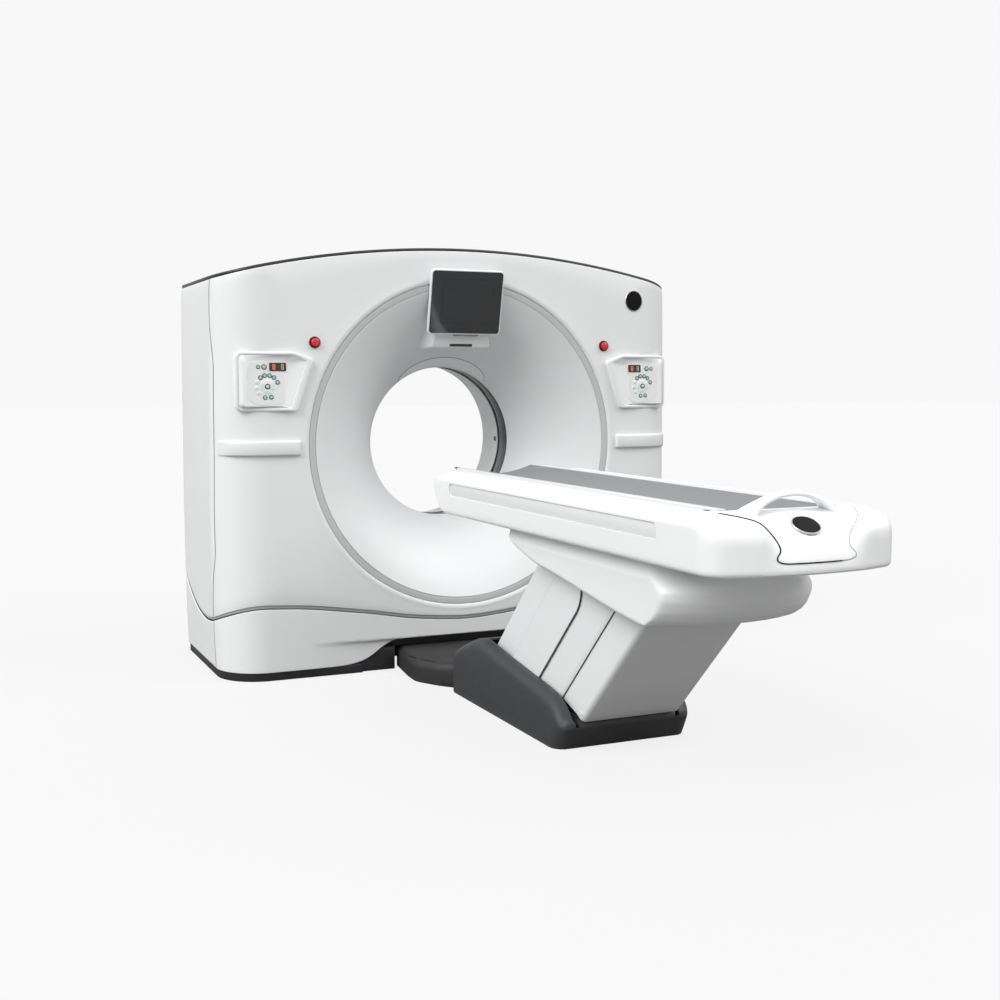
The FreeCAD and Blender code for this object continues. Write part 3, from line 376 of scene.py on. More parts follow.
def from_data(name, verts, faces, mat, sharp=32.0, weld=1e-5, closed=True, out=None):
    bm = bmesh.new()
    vs = [bm.verts.new(v) for v in verts]
    for f in faces:
        idx = []
        for i in f:
            if not idx or idx[-1] != i:
                idx.append(i)
        if len(set(idx)) >= 3:
            try:
                bm.faces.new([vs[i] for i in idx])
            except ValueError:
                pass
    bmesh.ops.remove_doubles(bm, verts=bm.verts, dist=weld)
    if closed or out is not None:
        bmesh.ops.recalc_face_normals(bm, faces=bm.faces)
    if not closed and out is not None:
        seen = set()
        for f0 in bm.faces:
            if f0 in seen:
                continue
            isle, todo = [], [f0]
            seen.add(f0)
            while todo:
                f = todo.pop()
                isle.append(f)
                for e in f.edges:
                    for g in e.link_faces:
                        if g not in seen:
                            seen.add(g)
                            todo.append(g)
            s = sum((f.calc_center_median() - Vector(out)).dot(f.normal) * f.calc_area() for f in isle)
            if s < 0:
                bmesh.ops.reverse_faces(bm, faces=isle)
    return finish_mesh(name, bm, mat, sharp)


def grid(name, rows, mat, out=None, sharp=32.0, wrap=False, toward=None):
    """An open sheet from rows of points."""
    n = len(rows[0])
    verts = [p for r in rows for p in r]
    faces = []
    for i in range(len(rows) - 1):
        for j in range(n if wrap else n - 1):
            a = i * n + j
            b = i * n + (j + 1) % n
            faces.append((a, b, b + n, a + n))
    return from_data(name, verts, faces, mat, sharp, closed=False, out=out)


def loft(name, rings, mat, sharp=32.0, caps=True):
    """A closed solid from rings that all have the same number of points."""
    n = len(rings[0])
    verts = [p for r in rings for p in r]
    faces = []
    for i in range(len(rings) - 1):
        for j in range(n):
            a = i * n + j
            b = i * n + (j + 1) % n
            faces.append((a, b, b + n, a + n))
    if caps:
        faces.append(tuple(range(n)))
        last = (len(rings) - 1) * n
        faces.append(tuple(last + j for j in range(n)))
    return from_data(name, verts, faces, mat, sharp)


def solidify(ob, t, offset=-1.0):
    m = ob.modifiers.new("wall", "SOLIDIFY")
    m.thickness = t
    m.offset = offset
    m.use_even_offset = True
    return m


def bevel(ob, w, seg=3, angle=40):
    m = ob.modifiers.new("edge", "BEVEL")
    m.width = w
    m.segments = seg
    m.limit_method = "ANGLE"
    m.angle_limit = math.radians(angle)
    m.harden_normals = False
    return m


def apply(ob, sharp=32.0):
    dg = bpy.context.evaluated_depsgraph_get()
    ev = ob.evaluated_get(dg)
    me = bpy.data.meshes.new_from_object(ev)
    mats = [s for s in ob.data.materials]
    ob.modifiers.clear()
    old = ob.data
    ob.data = me
    if not me.materials:
        for m in mats:
            me.materials.append(m)
    bpy.data.meshes.remove(old)
    me.polygons.foreach_set("use_smooth", [True] * len(me.polygons))
    me.set_sharp_from_angle(angle=math.radians(sharp))
    return ob


def boolean(ob, tool, op="DIFFERENCE", keep=False):
    m = ob.modifiers.new("cut", "BOOLEAN")
    m.operation = op
    m.solver = "EXACT"
    m.object = tool
    apply(ob)
    if not keep:
        bpy.data.objects.remove(tool)
    return ob


def prism(name, pts, axis, a, b, mat, sharp=32.0):
    """A straight solid: pts are the outline, spanning from a to b along the axis."""
    put = {
        "x": lambda u, v, t: (t, u, v),
        "y": lambda u, v, t: (u, t, v),
        "z": lambda u, v, t: (u, v, t),
    }[axis]
    return loft(name, [[put(u, v, t) for u, v in pts] for t in (a, b)], mat, sharp)


def box(name, x0, x1, y0, y1, z0, z1, mat):
    return prism(name, [(x0, y0), (x1, y0), (x1, y1), (x0, y1)], "z", z0, z1, mat)


def turned(name, prof, mat, n=128, sharp=32.0, closed=False, z0=ISO, a0=0.0, a1=None):
    """A surface turned round the bore's axis from (radius, Y) points."""
    full = a1 is None
    k = n if full else n + 1
    rows = []
    for r, y in prof:
        row = []
        for i in range(k):
            t = 2 * math.pi * i / n if full else lerp(a0, a1, i / n)
            row.append((r * math.sin(t), y, z0 + r * math.cos(t)))
        rows.append(row)
    if closed:
        rows.append(list(rows[0]))
    return grid(name, rows, mat, sharp=sharp, wrap=full)


def rounded(pts, radii, seg=8):
    """Rounds the corners of a closed outline; radii is one number or one per corner."""
    n = len(pts)
    out = []
    for i in range(n):
        r = radii if isinstance(radii, (int, float)) else radii[i]
        p = Vector(pts[i])
        if r <= 0:
            out.append(tuple(p))
            continue
        a = (Vector(pts[i - 1]) - p)
        c = (Vector(pts[(i + 1) % n]) - p)
        la, lc = a.length, c.length
        a.normalize()
        c.normalize()
        ang = math.acos(clamp(a.dot(c), -1, 1))
        if ang > math.pi - 0.02:
            out.extend([tuple(p)] * (seg + 1))
            continue
        d = min(r / math.tan(ang / 2), la * 0.49, lc * 0.49)
        rr = d * math.tan(ang / 2)
        ctr = p + (a + c).normalized() * (rr / math.sin(ang / 2))
        s = p + a * d
        e = p + c * d
        t0 = math.atan2(s.y - ctr.y, s.x - ctr.x)
        t1 = math.atan2(e.y - ctr.y, e.x - ctr.x)
        dt = (t1 - t0 + math.pi) % (2 * math.pi) - math.pi
        for k in range(seg + 1):
            t = t0 + dt * k / seg
            out.append((ctr.x + rr * math.cos(t), ctr.y + rr * math.sin(t)))
    return out


def join(name, obs, mat=None):
    bm = bmesh.new()
    mats = []
    for o in obs:
        dg = bpy.context.evaluated_depsgraph_get()
        me = bpy.data.meshes.new_from_object(o.evaluated_get(dg))
        base = len(mats)
        own = list(o.data.materials)
        idx = {}
        for i, m in enumerate(own):
            if m not in mats:
                mats.append(m)
            idx[i] = mats.index(m)
        k0 = len(bm.faces)
        bm.from_mesh(me)
        bm.faces.ensure_lookup_table()
        for f in bm.faces[k0:]:
            f.material_index = idx.get(f.material_index, 0)
        bpy.data.meshes.remove(me)
    for o in obs:
        bpy.data.objects.remove(o)
    return finish_mesh(name, bm, None, mats=mats)


def put(ob, body, slot, *replaced):
    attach(ob, body)
    if replaced:
        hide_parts(*replaced)
    return ob


def wire(name, pts, r, mat, cyclic=False, seg=6):
    """A fine line laid along points, as a mesh tube."""
    n = len(pts)
    rings = []
    for i, p in enumerate(pts):
        p = Vector(p)
        a = Vector(pts[(i - 1) % n] if cyclic or i else pts[0])
        b = Vector(pts[(i + 1) % n] if cyclic or i < n - 1 else pts[-1])
        t = (b - a).normalized()
        up = Vector((0.13, 0.31, 0.94))
        u = t.cross(up)
        if u.length < 1e-3:
            u = t.cross(Vector((1, 0, 0)))
        u.normalize()
        v = t.cross(u)
        rings.append([tuple(p + r * (math.cos(k * 2 * math.pi / seg) * u + math.sin(k * 2 * math.pi / seg) * v)) for k in range(seg)])
    if cyclic:
        verts = [q for g in rings for q in g]
        faces = []
        for i in range(n):
            for k in range(seg):
                a, b = i * seg + k, i * seg + (k + 1) % seg
                c, d = ((i + 1) % n) * seg + (k + 1) % seg, ((i + 1) % n) * seg + k
                faces.append((a, b, c, d))
        return from_data(name, verts, faces, mat, 60)
    return loft(name, rings, mat, 60)


# ------------------------------------------------------------ gantry's casing
W, DEP, RC = 1.115, 1.0, 0.2
XF = W - RC
ARC_L = RC * math.pi / 2
REAR = FACE + DEP
ARCHR = 4.4
CAP = 0.0135
TOPZ = 1.884
ARCHZ = TOPZ - ARCHR
part_r = table([(0, 0.880), (0.22, 0.866), (0.5, 0.825), (0.82, 0.789), (1.16, 0.776)])
bulge = table(
    [(0.0, -0.003), (0.05, -0.002), (0.25, 0.003), (0.49, 0.005), (0.73, 0.006), (0.97, 0.004), (1.2, 0.003), (1.44, 0.001), (1.67, -0.002), (1.75, -0.006)]
)
seam_y = table(
    [(0.0, 0.19), (0.14, 0.197), (0.3, 0.2), (0.42, 0.186), (0.56, 0.152), (0.7, 0.153), (1.0, 0.148), (1.2, 0.147), (1.36, 0.145), (1.44, 0.16), (1.56, 0.186), (1.75, 0.188)]
)


def top_z(x, drop=CAP):
    return ARCHZ + math.sqrt((ARCHR - drop) ** 2 - x * x)


def part_z(x, y, off):
    r = part_r(abs(x)) + off
    return ISO - math.sqrt(max(r * r - y * y, 0.0))


def plan(s, z, side=1, inset=0.0):
    """A point on the casing's outline, s metres round from where the front
    face starts to turn; side is +1 or -1."""
    rc = RC - inset
    if s < 0:
        x, y = XF + s, FACE + inset
    elif s <= ARC_L:
        a = s / RC
        x, y = XF + rc * math.sin(a), FACE + RC - rc * math.cos(a)
    elif s <= ARC_L + DEP - 2 * RC:
        x, y = W - inset, FACE + RC + s - ARC_L
    elif s <= 2 * ARC_L + DEP - 2 * RC:
        a = (s - ARC_L - DEP + 2 * RC) / RC
        x, y = XF + rc * math.cos(a), REAR - RC + rc * math.sin(a)
    else:
        x, y = XF - (s - 2 * ARC_L - DEP + 2 * RC), REAR - inset
    k = clamp((x - XF) / RC)
    return side * (x + bulge(z) * k), y


def s_of_y(y):
    """The outline length at which a distance y behind the face is reached."""
    if y < RC:
        return RC * math.acos(1 - y / RC)
    if y <= DEP - RC:
        return ARC_L + y - RC
    return ARC_L + DEP - 2 * RC + RC * math.asin(clamp((y - DEP + RC) / RC))


S_END = 2 * ARC_L + DEP - 2 * RC
S_REAR = s_of_y(0.83)


def side_sheet(name, s0, s1, zlo, zhi, side, ncol, rows, mat, inset=None, flat=None):
    """Part of the casing from outline lengths s0(z) to s1(z), between heights
    zlo(x, y) and zhi(x, y)."""
    out = []
    for f in rows:
        row = []
        for j in range(ncol + 1):
            z = 1.0
            x = y = 0.0
            for _ in range(4):
                s = lerp(s0(z), s1(z), j / ncol)
                x, y = plan(s, z, side)
                z = lerp(zlo(x, y), zhi(x, y), f)
            if inset:
                d = inset(j / ncol, s - s0(z), s1(z) - s, z)
                x, y = plan(s, z, side, d)
            row.append((x, y, z))
        out.append(row)
    return out


def even(n, ends=0.0):
    v = [i / n for i in range(n + 1)]
    return v


def fan(y, hole, zlo, zhi, hole_prof, flip=1):
    """The flat face between a round hole and the edges of the face. Returns the
    face's faces and the heights of its points at each upright edge."""
    ang = []
    marks = []
    for sx in (1, -1):
        for zz in (zhi(XF, y), zlo(XF, y)):
            marks.append(math.atan2(zz - ISO, sx * XF))
    n = 168
    ang = [2 * math.pi * i / n - math.pi for i in range(n)]
    for m in marks:
        k = min(range(len(ang)), key=lambda i: abs(ang[i] - m))
        ang[k] = m
    ang.sort()
    rim = []
    edge_z = {1: [], -1: []}
    for a in ang:
        c, s = math.cos(a), math.sin(a)
        t = 9.0
        if abs(c) > 1e-6:
            t = XF / abs(c)
        px, pz = t * c, ISO + t * s
        lo, hi = zlo(min(XF, abs(px)), y), zhi(min(XF, abs(px)), y)
        onside = abs(px) <= XF + 1e-6 and lo - 1e-4 <= pz <= hi + 1e-4
        if not onside:
            # the arch above or the parting line below
            target = zhi if s > 0 else zlo
            t = (target(0, y) - ISO) / s
            for _ in range(30):
                t = (target(min(XF, abs(t * c)), y) - ISO) / s
            px, pz = t * c, ISO + t * s
            px = max(-XF, min(XF, px))
        else:
            pz = max(lo, min(hi, pz))
            px = XF if c > 0 else -XF
            edge_z[1 if c > 0 else -1].append(pz)
        rim.append((px, pz))
    rings = []
    for r, yy in hole_prof:
        rings.append([(r * math.cos(a), yy, ISO + r * math.sin(a)) for a in ang])
    r0 = hole_prof[-1][0]
    for f in (0.12, 0.35, 0.65, 1.0):
        ring = []
        for a, (px, pz) in zip(ang, rim):
            qx, qz = r0 * math.cos(a), ISO + r0 * math.sin(a)
            ring.append((lerp(qx, px, f), y, lerp(qz, pz, f)))
        rings.append(ring)
    return rings, {k: sorted(v) for k, v in edge_z.items()}


def ring_faces(rings, base=0):
    n = len(rings[0])
    faces = []
    for i in range(len(rings) - 1):
        for j in range(n):
            a = base + i * n + j
            b = base + i * n + (j + 1) % n
            faces.append((a, b, b + n, a + n))
    return faces


def grid_faces(nr, nc, base):
    return [
        (base + i * nc + j, base + i * nc + j + 1, base + (i + 1) * nc + j + 1, base + (i + 1) * nc + j)
        for i in range(nr - 1)
        for j in range(nc - 1)
    ]


def part_up(x, y):
    return part_z(x, y, -0.012)


def part_dn(x, y):
    return part_z(x, y, 0.004)


def build_face(name, y, hole_prof, zlo, zhi, s0, s1, ncol):
    rings, edge = fan(y, None, zlo, zhi, hole_prof)
    verts = [p for r in rings for p in r]
    faces = ring_faces(rings)
    for side in (1, -1):
        zs = edge[side]
        lo, hi = zlo(XF, y), zhi(XF, y)
        fr = [clamp((z - lo) / (hi - lo)) for z in zs]
        rows = side_sheet(name, s0, s1, zlo, zhi, side, ncol, fr, None)
        base = len(verts)
        verts += [p for r in rows for p in r]
        faces += grid_faces(len(rows), ncol + 1, base)
    ob = from_data(name, verts, faces, WHITE, closed=False, out=(0, 0.13, ISO), weld=4e-4)
    solidify(ob, 0.006)
    bevel(ob, 0.0035, 3, 50)
    apply(ob)
    return ob


front_prof = [
    (0.7330, F(0.0100)),
    (0.7340, F(0.0055)),
    (0.7375, F(0.0028)),
    (0.7430, F(0.0008)),
    (0.7480, F(-0.0002)),
    (0.7530, F(-0.0005)),
    (0.7570, F(-0.0002)),
    (0.7590, F(0.0)),
]
front = build_face(
    "front_panel", FACE, front_prof, part_up, lambda x, y: top_z(x), lambda z: 0.0, lambda z: s_of_y(seam_y(z)), 14
)
stop_hole = []
for sx in (-1, 1):
    t = loft("t", [[(sx * 0.704 + 0.0186 * math.cos(a), yy, 1.459 + 0.0186 * math.sin(a)) for a in [2 * math.pi * i / 40 for i in range(40)]] for yy in (F(-0.02), F(0.03))], WHITE)
    boolean(front, t)
put(front, "gantry", "casing_white", "front_cover")

rear_prof = [
    (0.5585, REAR - 0.008),
    (0.5590, REAR - 0.0035),
    (0.5610, REAR - 0.0012),
    (0.5650, REAR),
]
rear = build_face(
    "rear_panel", REAR, rear_prof, part_up, lambda x, y: top_z(x), lambda z: S_END, lambda z: S_REAR + 0.004, 12
)
put(rear, "gantry", "casing_white", "rear_cover")


def side_cover(side):
    def inset(f, d0, d1, z):
        # the broad soft bevel along the front seam, widest at mid height
        w = 0.026 * sstep(0.36, 0.46, z) * (1 - sstep(1.36, 1.46, z)) + 0.006
        return 0.011 * (w / 0.03) * (1 - clamp(d0 / w)) ** 1.4

    sub = [0.0, 0.008, 0.018, 0.03, 0.05, 0.1, 0.2, 0.35, 0.5, 0.65, 0.8, 0.9, 0.96, 1.0]
    rows = []
    for f in even(56):
        row = []
        for u in sub:
            z = 1.0
            for _ in range(4):
                s0, s1 = s_of_y(seam_y(z)) + 0.004, S_REAR - 0.003
                s = lerp(s0, s1, u)
                x, y = plan(s, z, side)
                z = lerp(part_up(x, y), top_z(x), f)
            x, y = plan(s, z, side, inset(u, s - s0, s1 - s, z))
            row.append((x, y, z))
        rows.append(row)
    name = "side_panel_left" if side < 0 else "side_panel_right"
    ob = grid(name, rows, WHITE, out=(0, 0.13, ISO))
    solidify(ob, 0.006)
    bevel(ob, 0.003, 3, 50)
    apply(ob)
    return ob


for side, nm in ((-1, "side_cover_left"), (1, "side_cover_right")):
    put(side_cover(side), "gantry", "casing_white", nm)

# The recessed grey line under the upper covers, and the soft lip above it.
loop = []
for i in range(61):
    loop.append((lerp(-XF, XF, i / 60), FACE + 0.008))
path = [(lerp(-XF, XF, i / 80), FACE) for i in range(81)]


def loop_points(inset, zf, step=0.02):
    """Points all the way round the casing at one inset, with zf giving height."""
    pts = []
    n = int(S_END / step)
    right = [plan(S_END * i / n, 0.3, 1, inset) for i in range(n + 1)]
    frontn = [(lerp(-XF, XF, i / 90), FACE + inset) for i in range(90)]
    rearn = [(lerp(XF, -XF, i / 90), REAR - inset) for i in range(90)]
    left = [plan(S_END * (1 - i / n), 0.3, -1, inset) for i in range(n + 1)]
    for x, y in frontn + right + rearn + left[:-1]:
        pts.append((x, y, zf(x, y)))
    return pts


rows = [
    loop_points(0.0085, lambda x, y: part_z(x, y, -0.020)),
    loop_points(0.0050, lambda x, y: part_z(x, y, -0.0115)),
    loop_points(0.0045, lambda x, y: part_z(x, y, -0.004)),
    loop_points(0.0065, lambda x, y: part_z(x, y, -0.002)),
    loop_points(0.0140, lambda x, y: part_z(x, y, -0.002)),
    loop_points(0.0140, lambda x, y: part_z(x, y, -0.020)),
    loop_points(0.0085, lambda x, y: part_z(x, y, -0.020)),
]
gasket = grid("parting_gasket", rows, PARTGREY, wrap=True, out=(0, 0.13, 0.3))
put(gasket, "gantry", "ring_grey")

# Dark grey strips behind the upright seams between the front and side covers, and a dark grey line along each seam:
# painted shade for the gaps.
for nm, body_, z0, z1 in (("seam_shade_upper", "gantry", None, None), ("seam_shade_lower", "base", 0.040, None)):
    strips = []
    for side in (-1, 1):
        rows = []
        for f in even(70):
            z = 1.0
            row = []
            for _ in range(4):
                x, y = plan(s_of_y(seam_y(z)), z, side)
                lo = part_up(x, y) + 0.004 if z0 is None else z0
                hi = top_z(x) - 0.003 if z0 is None else part_dn(x, y) - 0.004
                z = lerp(lo, hi, f)
            for ds, ins in ((-0.006, 0.0075), (0.012, 0.0075), (0.012, 0.0090), (-0.006, 0.0090)):
                x, y = plan(s_of_y(seam_y(z)) + ds, z, side, ins)
                row.append((x, y, z))
            rows.append(row)
        strips.append(loft("sb", rows, SEAMGREY, 40))
        # the dark grey line along the seam's edge, painted shade for the gap
        line = []
        for row in rows:
            sy = s_of_y(seam_y(row[0][2])) + 0.0020
            line.append((*plan(sy, row[0][2], side, 0.0008), row[0][2]))
        strips.append(wire("sl", line, 0.0021, SEAMGREY, seg=8))
    put(join(nm, strips), body_, "ring_grey")

# The thin dark cap along the arched top.
cap_rings = []
n_cap = 90
for i in range(n_cap + 1):
    t = -1 + 2 * i / n_cap
    x = (W - 0.0065) * (0.6 * t + 0.4 * math.sin(t * math.pi / 2))
    ins = 0.0060
    over = max(0.0, abs(x) - XF)
    dy = RC - math.sqrt(max(0.0, (RC - ins) ** 2 - over * over))
    yf, yr = FACE + dy, REAR - dy
    zt, zb_ = ARCHZ + math.sqrt(ARCHR**2 - x * x), top_z(x, 0.0128)
    sec = [(yf + 0.0010, zb_), (yf, zb_ + 0.0010), (yf, zt - 0.0050), (yf + 0.0015, zt - 0.0018), (yf + 0.0050, zt)]
    sec += [(lerp(yf, yr, k / 8), zt) for k in range(1, 8)]
    sec += [(yr - 0.0050, zt), (yr - 0.0015, zt - 0.0018), (yr, zt - 0.0050), (yr, zb_ + 0.0010), (yr - 0.0010, zb_)]
    cap_rings.append([(x, y, z) for y, z in sec])
top_cap = loft("top_cap", cap_rings, BLACK, 40)
put(top_cap, "gantry", "trim_black", "top_cover")

# ---------------------------------------------------------------- lower covers
notch = table([(0.30, 0.138), (0.335, 0.1375), (0.36, 0.130), (0.40, 0.110), (0.45, 0.076), (0.50, 0.052), (0.56, 0.041), (0.62, 0.038)])


def low_z(x, y):
    if y < FACE + 0.12 and abs(x) < 0.62:
        return notch(abs(x))
    return 0.038


def brow(x, z):
    """Depth of the hollow under the crease that runs on from the notch's upper edge."""
    a = sstep(0.78, 0.42, abs(x)) if False else 1 - sstep(0.42, 0.78, abs(x))
    zc = 0.1445 - 0.004 * a
    return 0.016 * a * (1 - sstep(zc - 0.010, zc + 0.003, z))


xs = sorted(set([round(lerp(-XF, XF, i / 74), 5) for i in range(75)] + [s * v / 1000 for s in (-1, 1) for v in range(300, 640, 8)]))
fr = [0.0, 0.03, 0.08, 0.16, 0.26, 0.36, 0.46, 0.56, 0.66, 0.76, 0.86, 0.94, 1.0]
zl = [0.038, 0.055, 0.075, 0.095, 0.115, 0.128, 0.134, 0.1385, 0.142, 0.146, 0.152, 0.165, 0.185]
rows = []
for f in range(30):
    row = []
    for x in xs:
        lo, hi = low_z(x, FACE), part_dn(x, FACE)
        t = f / 29
        z = lerp(lo, hi, t)
        row.append((x, FACE + brow(x, z), z))
    rows.append(row)
nr = len(rows)
nc = len(xs)
verts = [p for r in rows for p in r]
faces = grid_faces(nr, nc, 0)
for side in (1, -1):
    rws = side_sheet(
        "l",
        lambda z: 0.0,
        lambda z: s_of_y(seam_y(z)),
        lambda x, y: 0.038,
        part_dn,
        side,
        14,
        [i / 29 for i in range(30)],
        None,
    )
    base = len(verts)
    verts += [p for r in rws for p in r]
    faces += grid_faces(len(rws), 15, base)
lowfront = from_data("lower_front_panel", verts, faces, WHITE, closed=False, out=(0, 0.13, 0.3), weld=3e-4)
solidify(lowfront, 0.006)
bevel(lowfront, 0.0035, 3, 50)
apply(lowfront)
put(lowfront, "base", "casing_white", "lower_front_cover")

rows = []
for f in range(22):
    row = []
    t = f / 21
    for i in range(61):
        x = lerp(-XF, XF, i / 60)
        row.append((x, REAR, lerp(0.038, part_dn(x, REAR), t)))
    rows.append(row)
verts = [p for r in rows for p in r]
faces = grid_faces(22, 61, 0)
for side in (1, -1):
    rws = side_sheet("l", lambda z: S_END, lambda z: S_REAR + 0.004, lambda x, y: 0.038, part_dn, side, 12, [i / 21 for i in range(22)], None)
    base = len(verts)
    verts += [p for r in rws for p in r]
    faces += grid_faces(len(rws), 13, base)
lowrear = from_data("lower_rear_panel", verts, faces, WHITE, closed=False, out=(0, 0.13, 0.3), weld=3e-4)
solidify(lowrear, 0.006)
bevel(lowrear, 0.0035, 3, 50)
apply(lowrear)
put(lowrear, "base", "casing_white", "lower_rear_cover")

for side, nm in ((-1, "lower_side_cover_left"), (1, "lower_side_cover_right")):
    rws = side_sheet(
        "l",
        lambda z: s_of_y(seam_y(z)) + 0.004,
        lambda z: S_REAR - 0.003,
        lambda x, y: 0.038,
        part_dn,
        side,
        24,
        [i / 20 for i in range(21)],
        None,
    )
    ob = grid(nm.replace("cover", "panel"), rws, WHITE, out=(0, 0.13, 0.3))
    solidify(ob, 0.006)
    bevel(ob, 0.003, 3, 50)
    apply(ob)
    put(ob, "base", "casing_white", nm)

# ------------------------------------------------------------- ring and funnel


def arc_prof(p, q, r, n, deep=True):
    """Points of an arc from p to q, its centre on the side of larger Y."""
    dx, dy = q[0] - p[0], q[1] - p[1]
    c = math.hypot(dx, dy)
    h = math.sqrt(r * r - c * c / 4)
    best = None
    for s in (-1, 1):
        cx, cy = (p[0] + q[0]) / 2 - s * dy / c * h, (p[1] + q[1]) / 2 + s * dx / c * h
        if best is None or (cy > best[1]) == deep:
            best = (cx, cy)
    cx, cy = best
    a0 = math.atan2(p[1] - cy, p[0] - cx)
    a1 = math.atan2(q[1] - cy, q[0] - cx)
    d = (a1 - a0 + math.pi) % (2 * math.pi) - math.pi
    return [(cx + r * math.cos(a0 + d * i / n), cy + r * math.sin(a0 + d * i / n)) for i in range(n + 1)]


fun = arc_prof((0.7005, F(0.0085)), (0.352, F(0.3195)), 0.811, 40)
prof = [(0.7020, F(0.0150)), (0.7022, F(0.0100))] + fun + [(0.3503, F(0.3225)), (0.3500, F(0.3255)), (0.3515, F(0.3275)), (0.3560, F(0.3280))]
funnel = turned("bore_funnel", prof, FUNNEL, n=160, sharp=40)
solidify(funnel, 0.004, 1.0)
put(funnel, "gantry", "casing_white", "front_funnel")


def fun_y(r):
    for (ra, ya), (rb, yb) in zip(fun, fun[1:]):
        if rb <= r <= ra:
            return lerp(ya, yb, (ra - r) / (ra - rb))
    return fun[-1][1]


prof = [
    (0.7322, F(0.0140)),
    (0.7325, F(0.0078)),
    (0.7300, F(0.0062)),
    (0.7200, F(0.0064)),
    (0.7100, F(0.0074)),
    (0.7050, F(0.0086)),
    (0.7034, F(0.0105)),
    (0.7032, F(0.0150)),
]
ringt = turned("ring_band", prof, RINGGREY, n=160)
put(ringt, "gantry", "ring_grey", "ring_trim")

prof = [(0.3545, F(0.3260)), (0.3530, F(0.3290)), (0.3530, F(0.4340)), (0.3545, F(0.4365)), (0.3570, F(0.4365)), (0.3570, F(0.3260)), (0.3545, F(0.3260))]
window = turned("scan_film", prof, FILM, n=128)
put(window, "gantry", "window_dark", "scan_window")

prof = [(0.3555, F(0.4440)), (0.3520, F(0.4390)), (0.3508, F(0.4400)), (0.3510, F(0.4440))]
prof += [(lerp(0.3512, 0.367, i / 8), F(lerp(0.446, 0.621, i / 8))) for i in range(9)]
prof += arc_prof((0.3675, F(0.626)), (0.5575, REAR - 0.002), 0.90, 26, deep=False)[0:]
prof += [(0.5583, REAR - 0.004), (0.5583, REAR - 0.012)]
liner = turned("bore_liner", prof, LINER, n=128, sharp=40)
put(liner, "gantry", "liner_grey", "rear_funnel")


# ---------------------------------------------------------- monitor and plinth
MT = math.atan2(61.0, 285.0)


def on_screen(u, w, d):
    """A point on the tilted screen: u across, w up from its lower edge, d in front."""
    y0, z0 = F(0.0264), 1.502
    c, k = math.cos(MT), math.sin(MT)
    return (u, y0 - w * k - d * c, z0 + w * c - d * k)


def screen_slab(name, x0, x1, w0, w1, d0, d1, r, mat, bev=0.0, seg=10, sharp=32):
    out = rounded([(x0, w0), (x1, w0), (x1, w1), (x0, w1)], r, seg)
    ob = loft(name, [[on_screen(u, w, d) for u, w in out] for d in (d0, d1)], mat, sharp)
    if bev:
        bevel(ob, bev, 4, 50)
        apply(ob, sharp)
    return ob


MH = math.hypot(61.0, 285.0) / 1000
hous = screen_slab("h", -0.177, 0.177, 0.0, MH, -0.0175, 0.0, 0.020, WHITE_GLOSS, 0.0045)
lip = screen_slab("l", -0.050, 0.072, -0.006, 0.004, -0.0150, -0.003, 0.003, SEAMGREY, 0.001)
fun_pts = {}


def funnel_at(x, z, lift=0.0):
    r = math.hypot(x, z - ISO)
    return fun_y(min(max(r, 0.352), 0.7)) - lift


# the plinth under the monitor, blended into the funnel
rows = []
prow = 26
for i in range(prow + 1):
    t = i / prow
    z = lerp(1.4300, 1.585, t)
    hw = lerp(0.177, 0.150, sstep(0, 0.7, t))
    row = []
    for j in range(41):
        u = lerp(-1, 1, j / 40)
        x = u * hw
        base = funnel_at(x, z)
        flat = F(0.0264) + 0.019 + (1.502 - z) * 0.36
        e = (1 - sstep(0.80, 1.0, abs(u))) * sstep(0.0, 0.10, t)
        y = lerp(base + 0.0015, min(flat, base - 0.001), e)
        row.append((x, y, z))
    rows.append(row)
plinth = grid("pl", rows, FUNNEL, out=(0, 0.4, 1.5), sharp=50)
slot = None
sl = loft(
    "s",
    [[(x, yy, z) for x, z in rounded([(-0.055, 1.4510), (0.055, 1.4510), (0.055, 1.4615), (-0.055, 1.4615)], 0.003, 4)] for yy in (F(0.02), F(0.0264) + 0.019 + (1.502 - 1.456) * 0.36 - 0.0006)],
    BLACK,
)
# the slot lies flush on the plinth's slope
bpy.data.objects.remove(sl)


def plinth_y(x, z):
    hw = lerp(0.177, 0.150, sstep(0, 0.7, clamp((z - 1.43) / 0.155)))
    u = x / hw
    base = funnel_at(x, z)
    flat = F(0.0264) + 0.019 + (1.502 - z) * 0.36
    e = (1 - sstep(0.80, 1.0, abs(u))) * sstep(0.0, 0.10, clamp((z - 1.43) / 0.155))
    return lerp(base + 0.0015, min(flat, base - 0.001), e)


out = rounded([(-0.055, 1.4500), (0.055, 1.4500), (0.055, 1.4620), (-0.055, 1.4620)], 0.003, 4)
sl = loft("s", [[(x, plinth_y(x, z) + d, z) for x, z in out] for d in (0.003, -0.0008)], BLACK)
stem = turned("st", [(0.030, F(0.040)), (0.030, F(0.20))], FUNNEL, n=40, z0=1.580)
mon = join("monitor_body", [hous, lip, plinth, sl, stem])
put(mon, "gantry", "display_white", "monitor_housing")
g1 = screen_slab("g1", -0.1705, 0.1705, 0.0065, MH - 0.0065, -0.001, 0.0016, 0.0145, SCREEN, 0.0008)
g2 = screen_slab("g2", -0.117, 0.128, 0.055, MH - 0.045, 0.0010, 0.0022, 0.002, SCREEN2)
g3 = screen_slab("g3", -0.121, 0.132, 0.051, MH - 0.041, 0.0012, 0.00185, 0.003, BLACK)
glass = join("monitor_screen", [g1, g2, g3])
put(glass, "gantry", "screen_glass", "monitor_glass")

# crescent window over the bore: its outline and its face, a little proud
PH = math.radians(37.0)


def cres_r(a):
    t = clamp(abs(a) / PH)
    return 0.3575 + 0.0385 * math.sqrt(max(0.0, 1 - t**2.6))


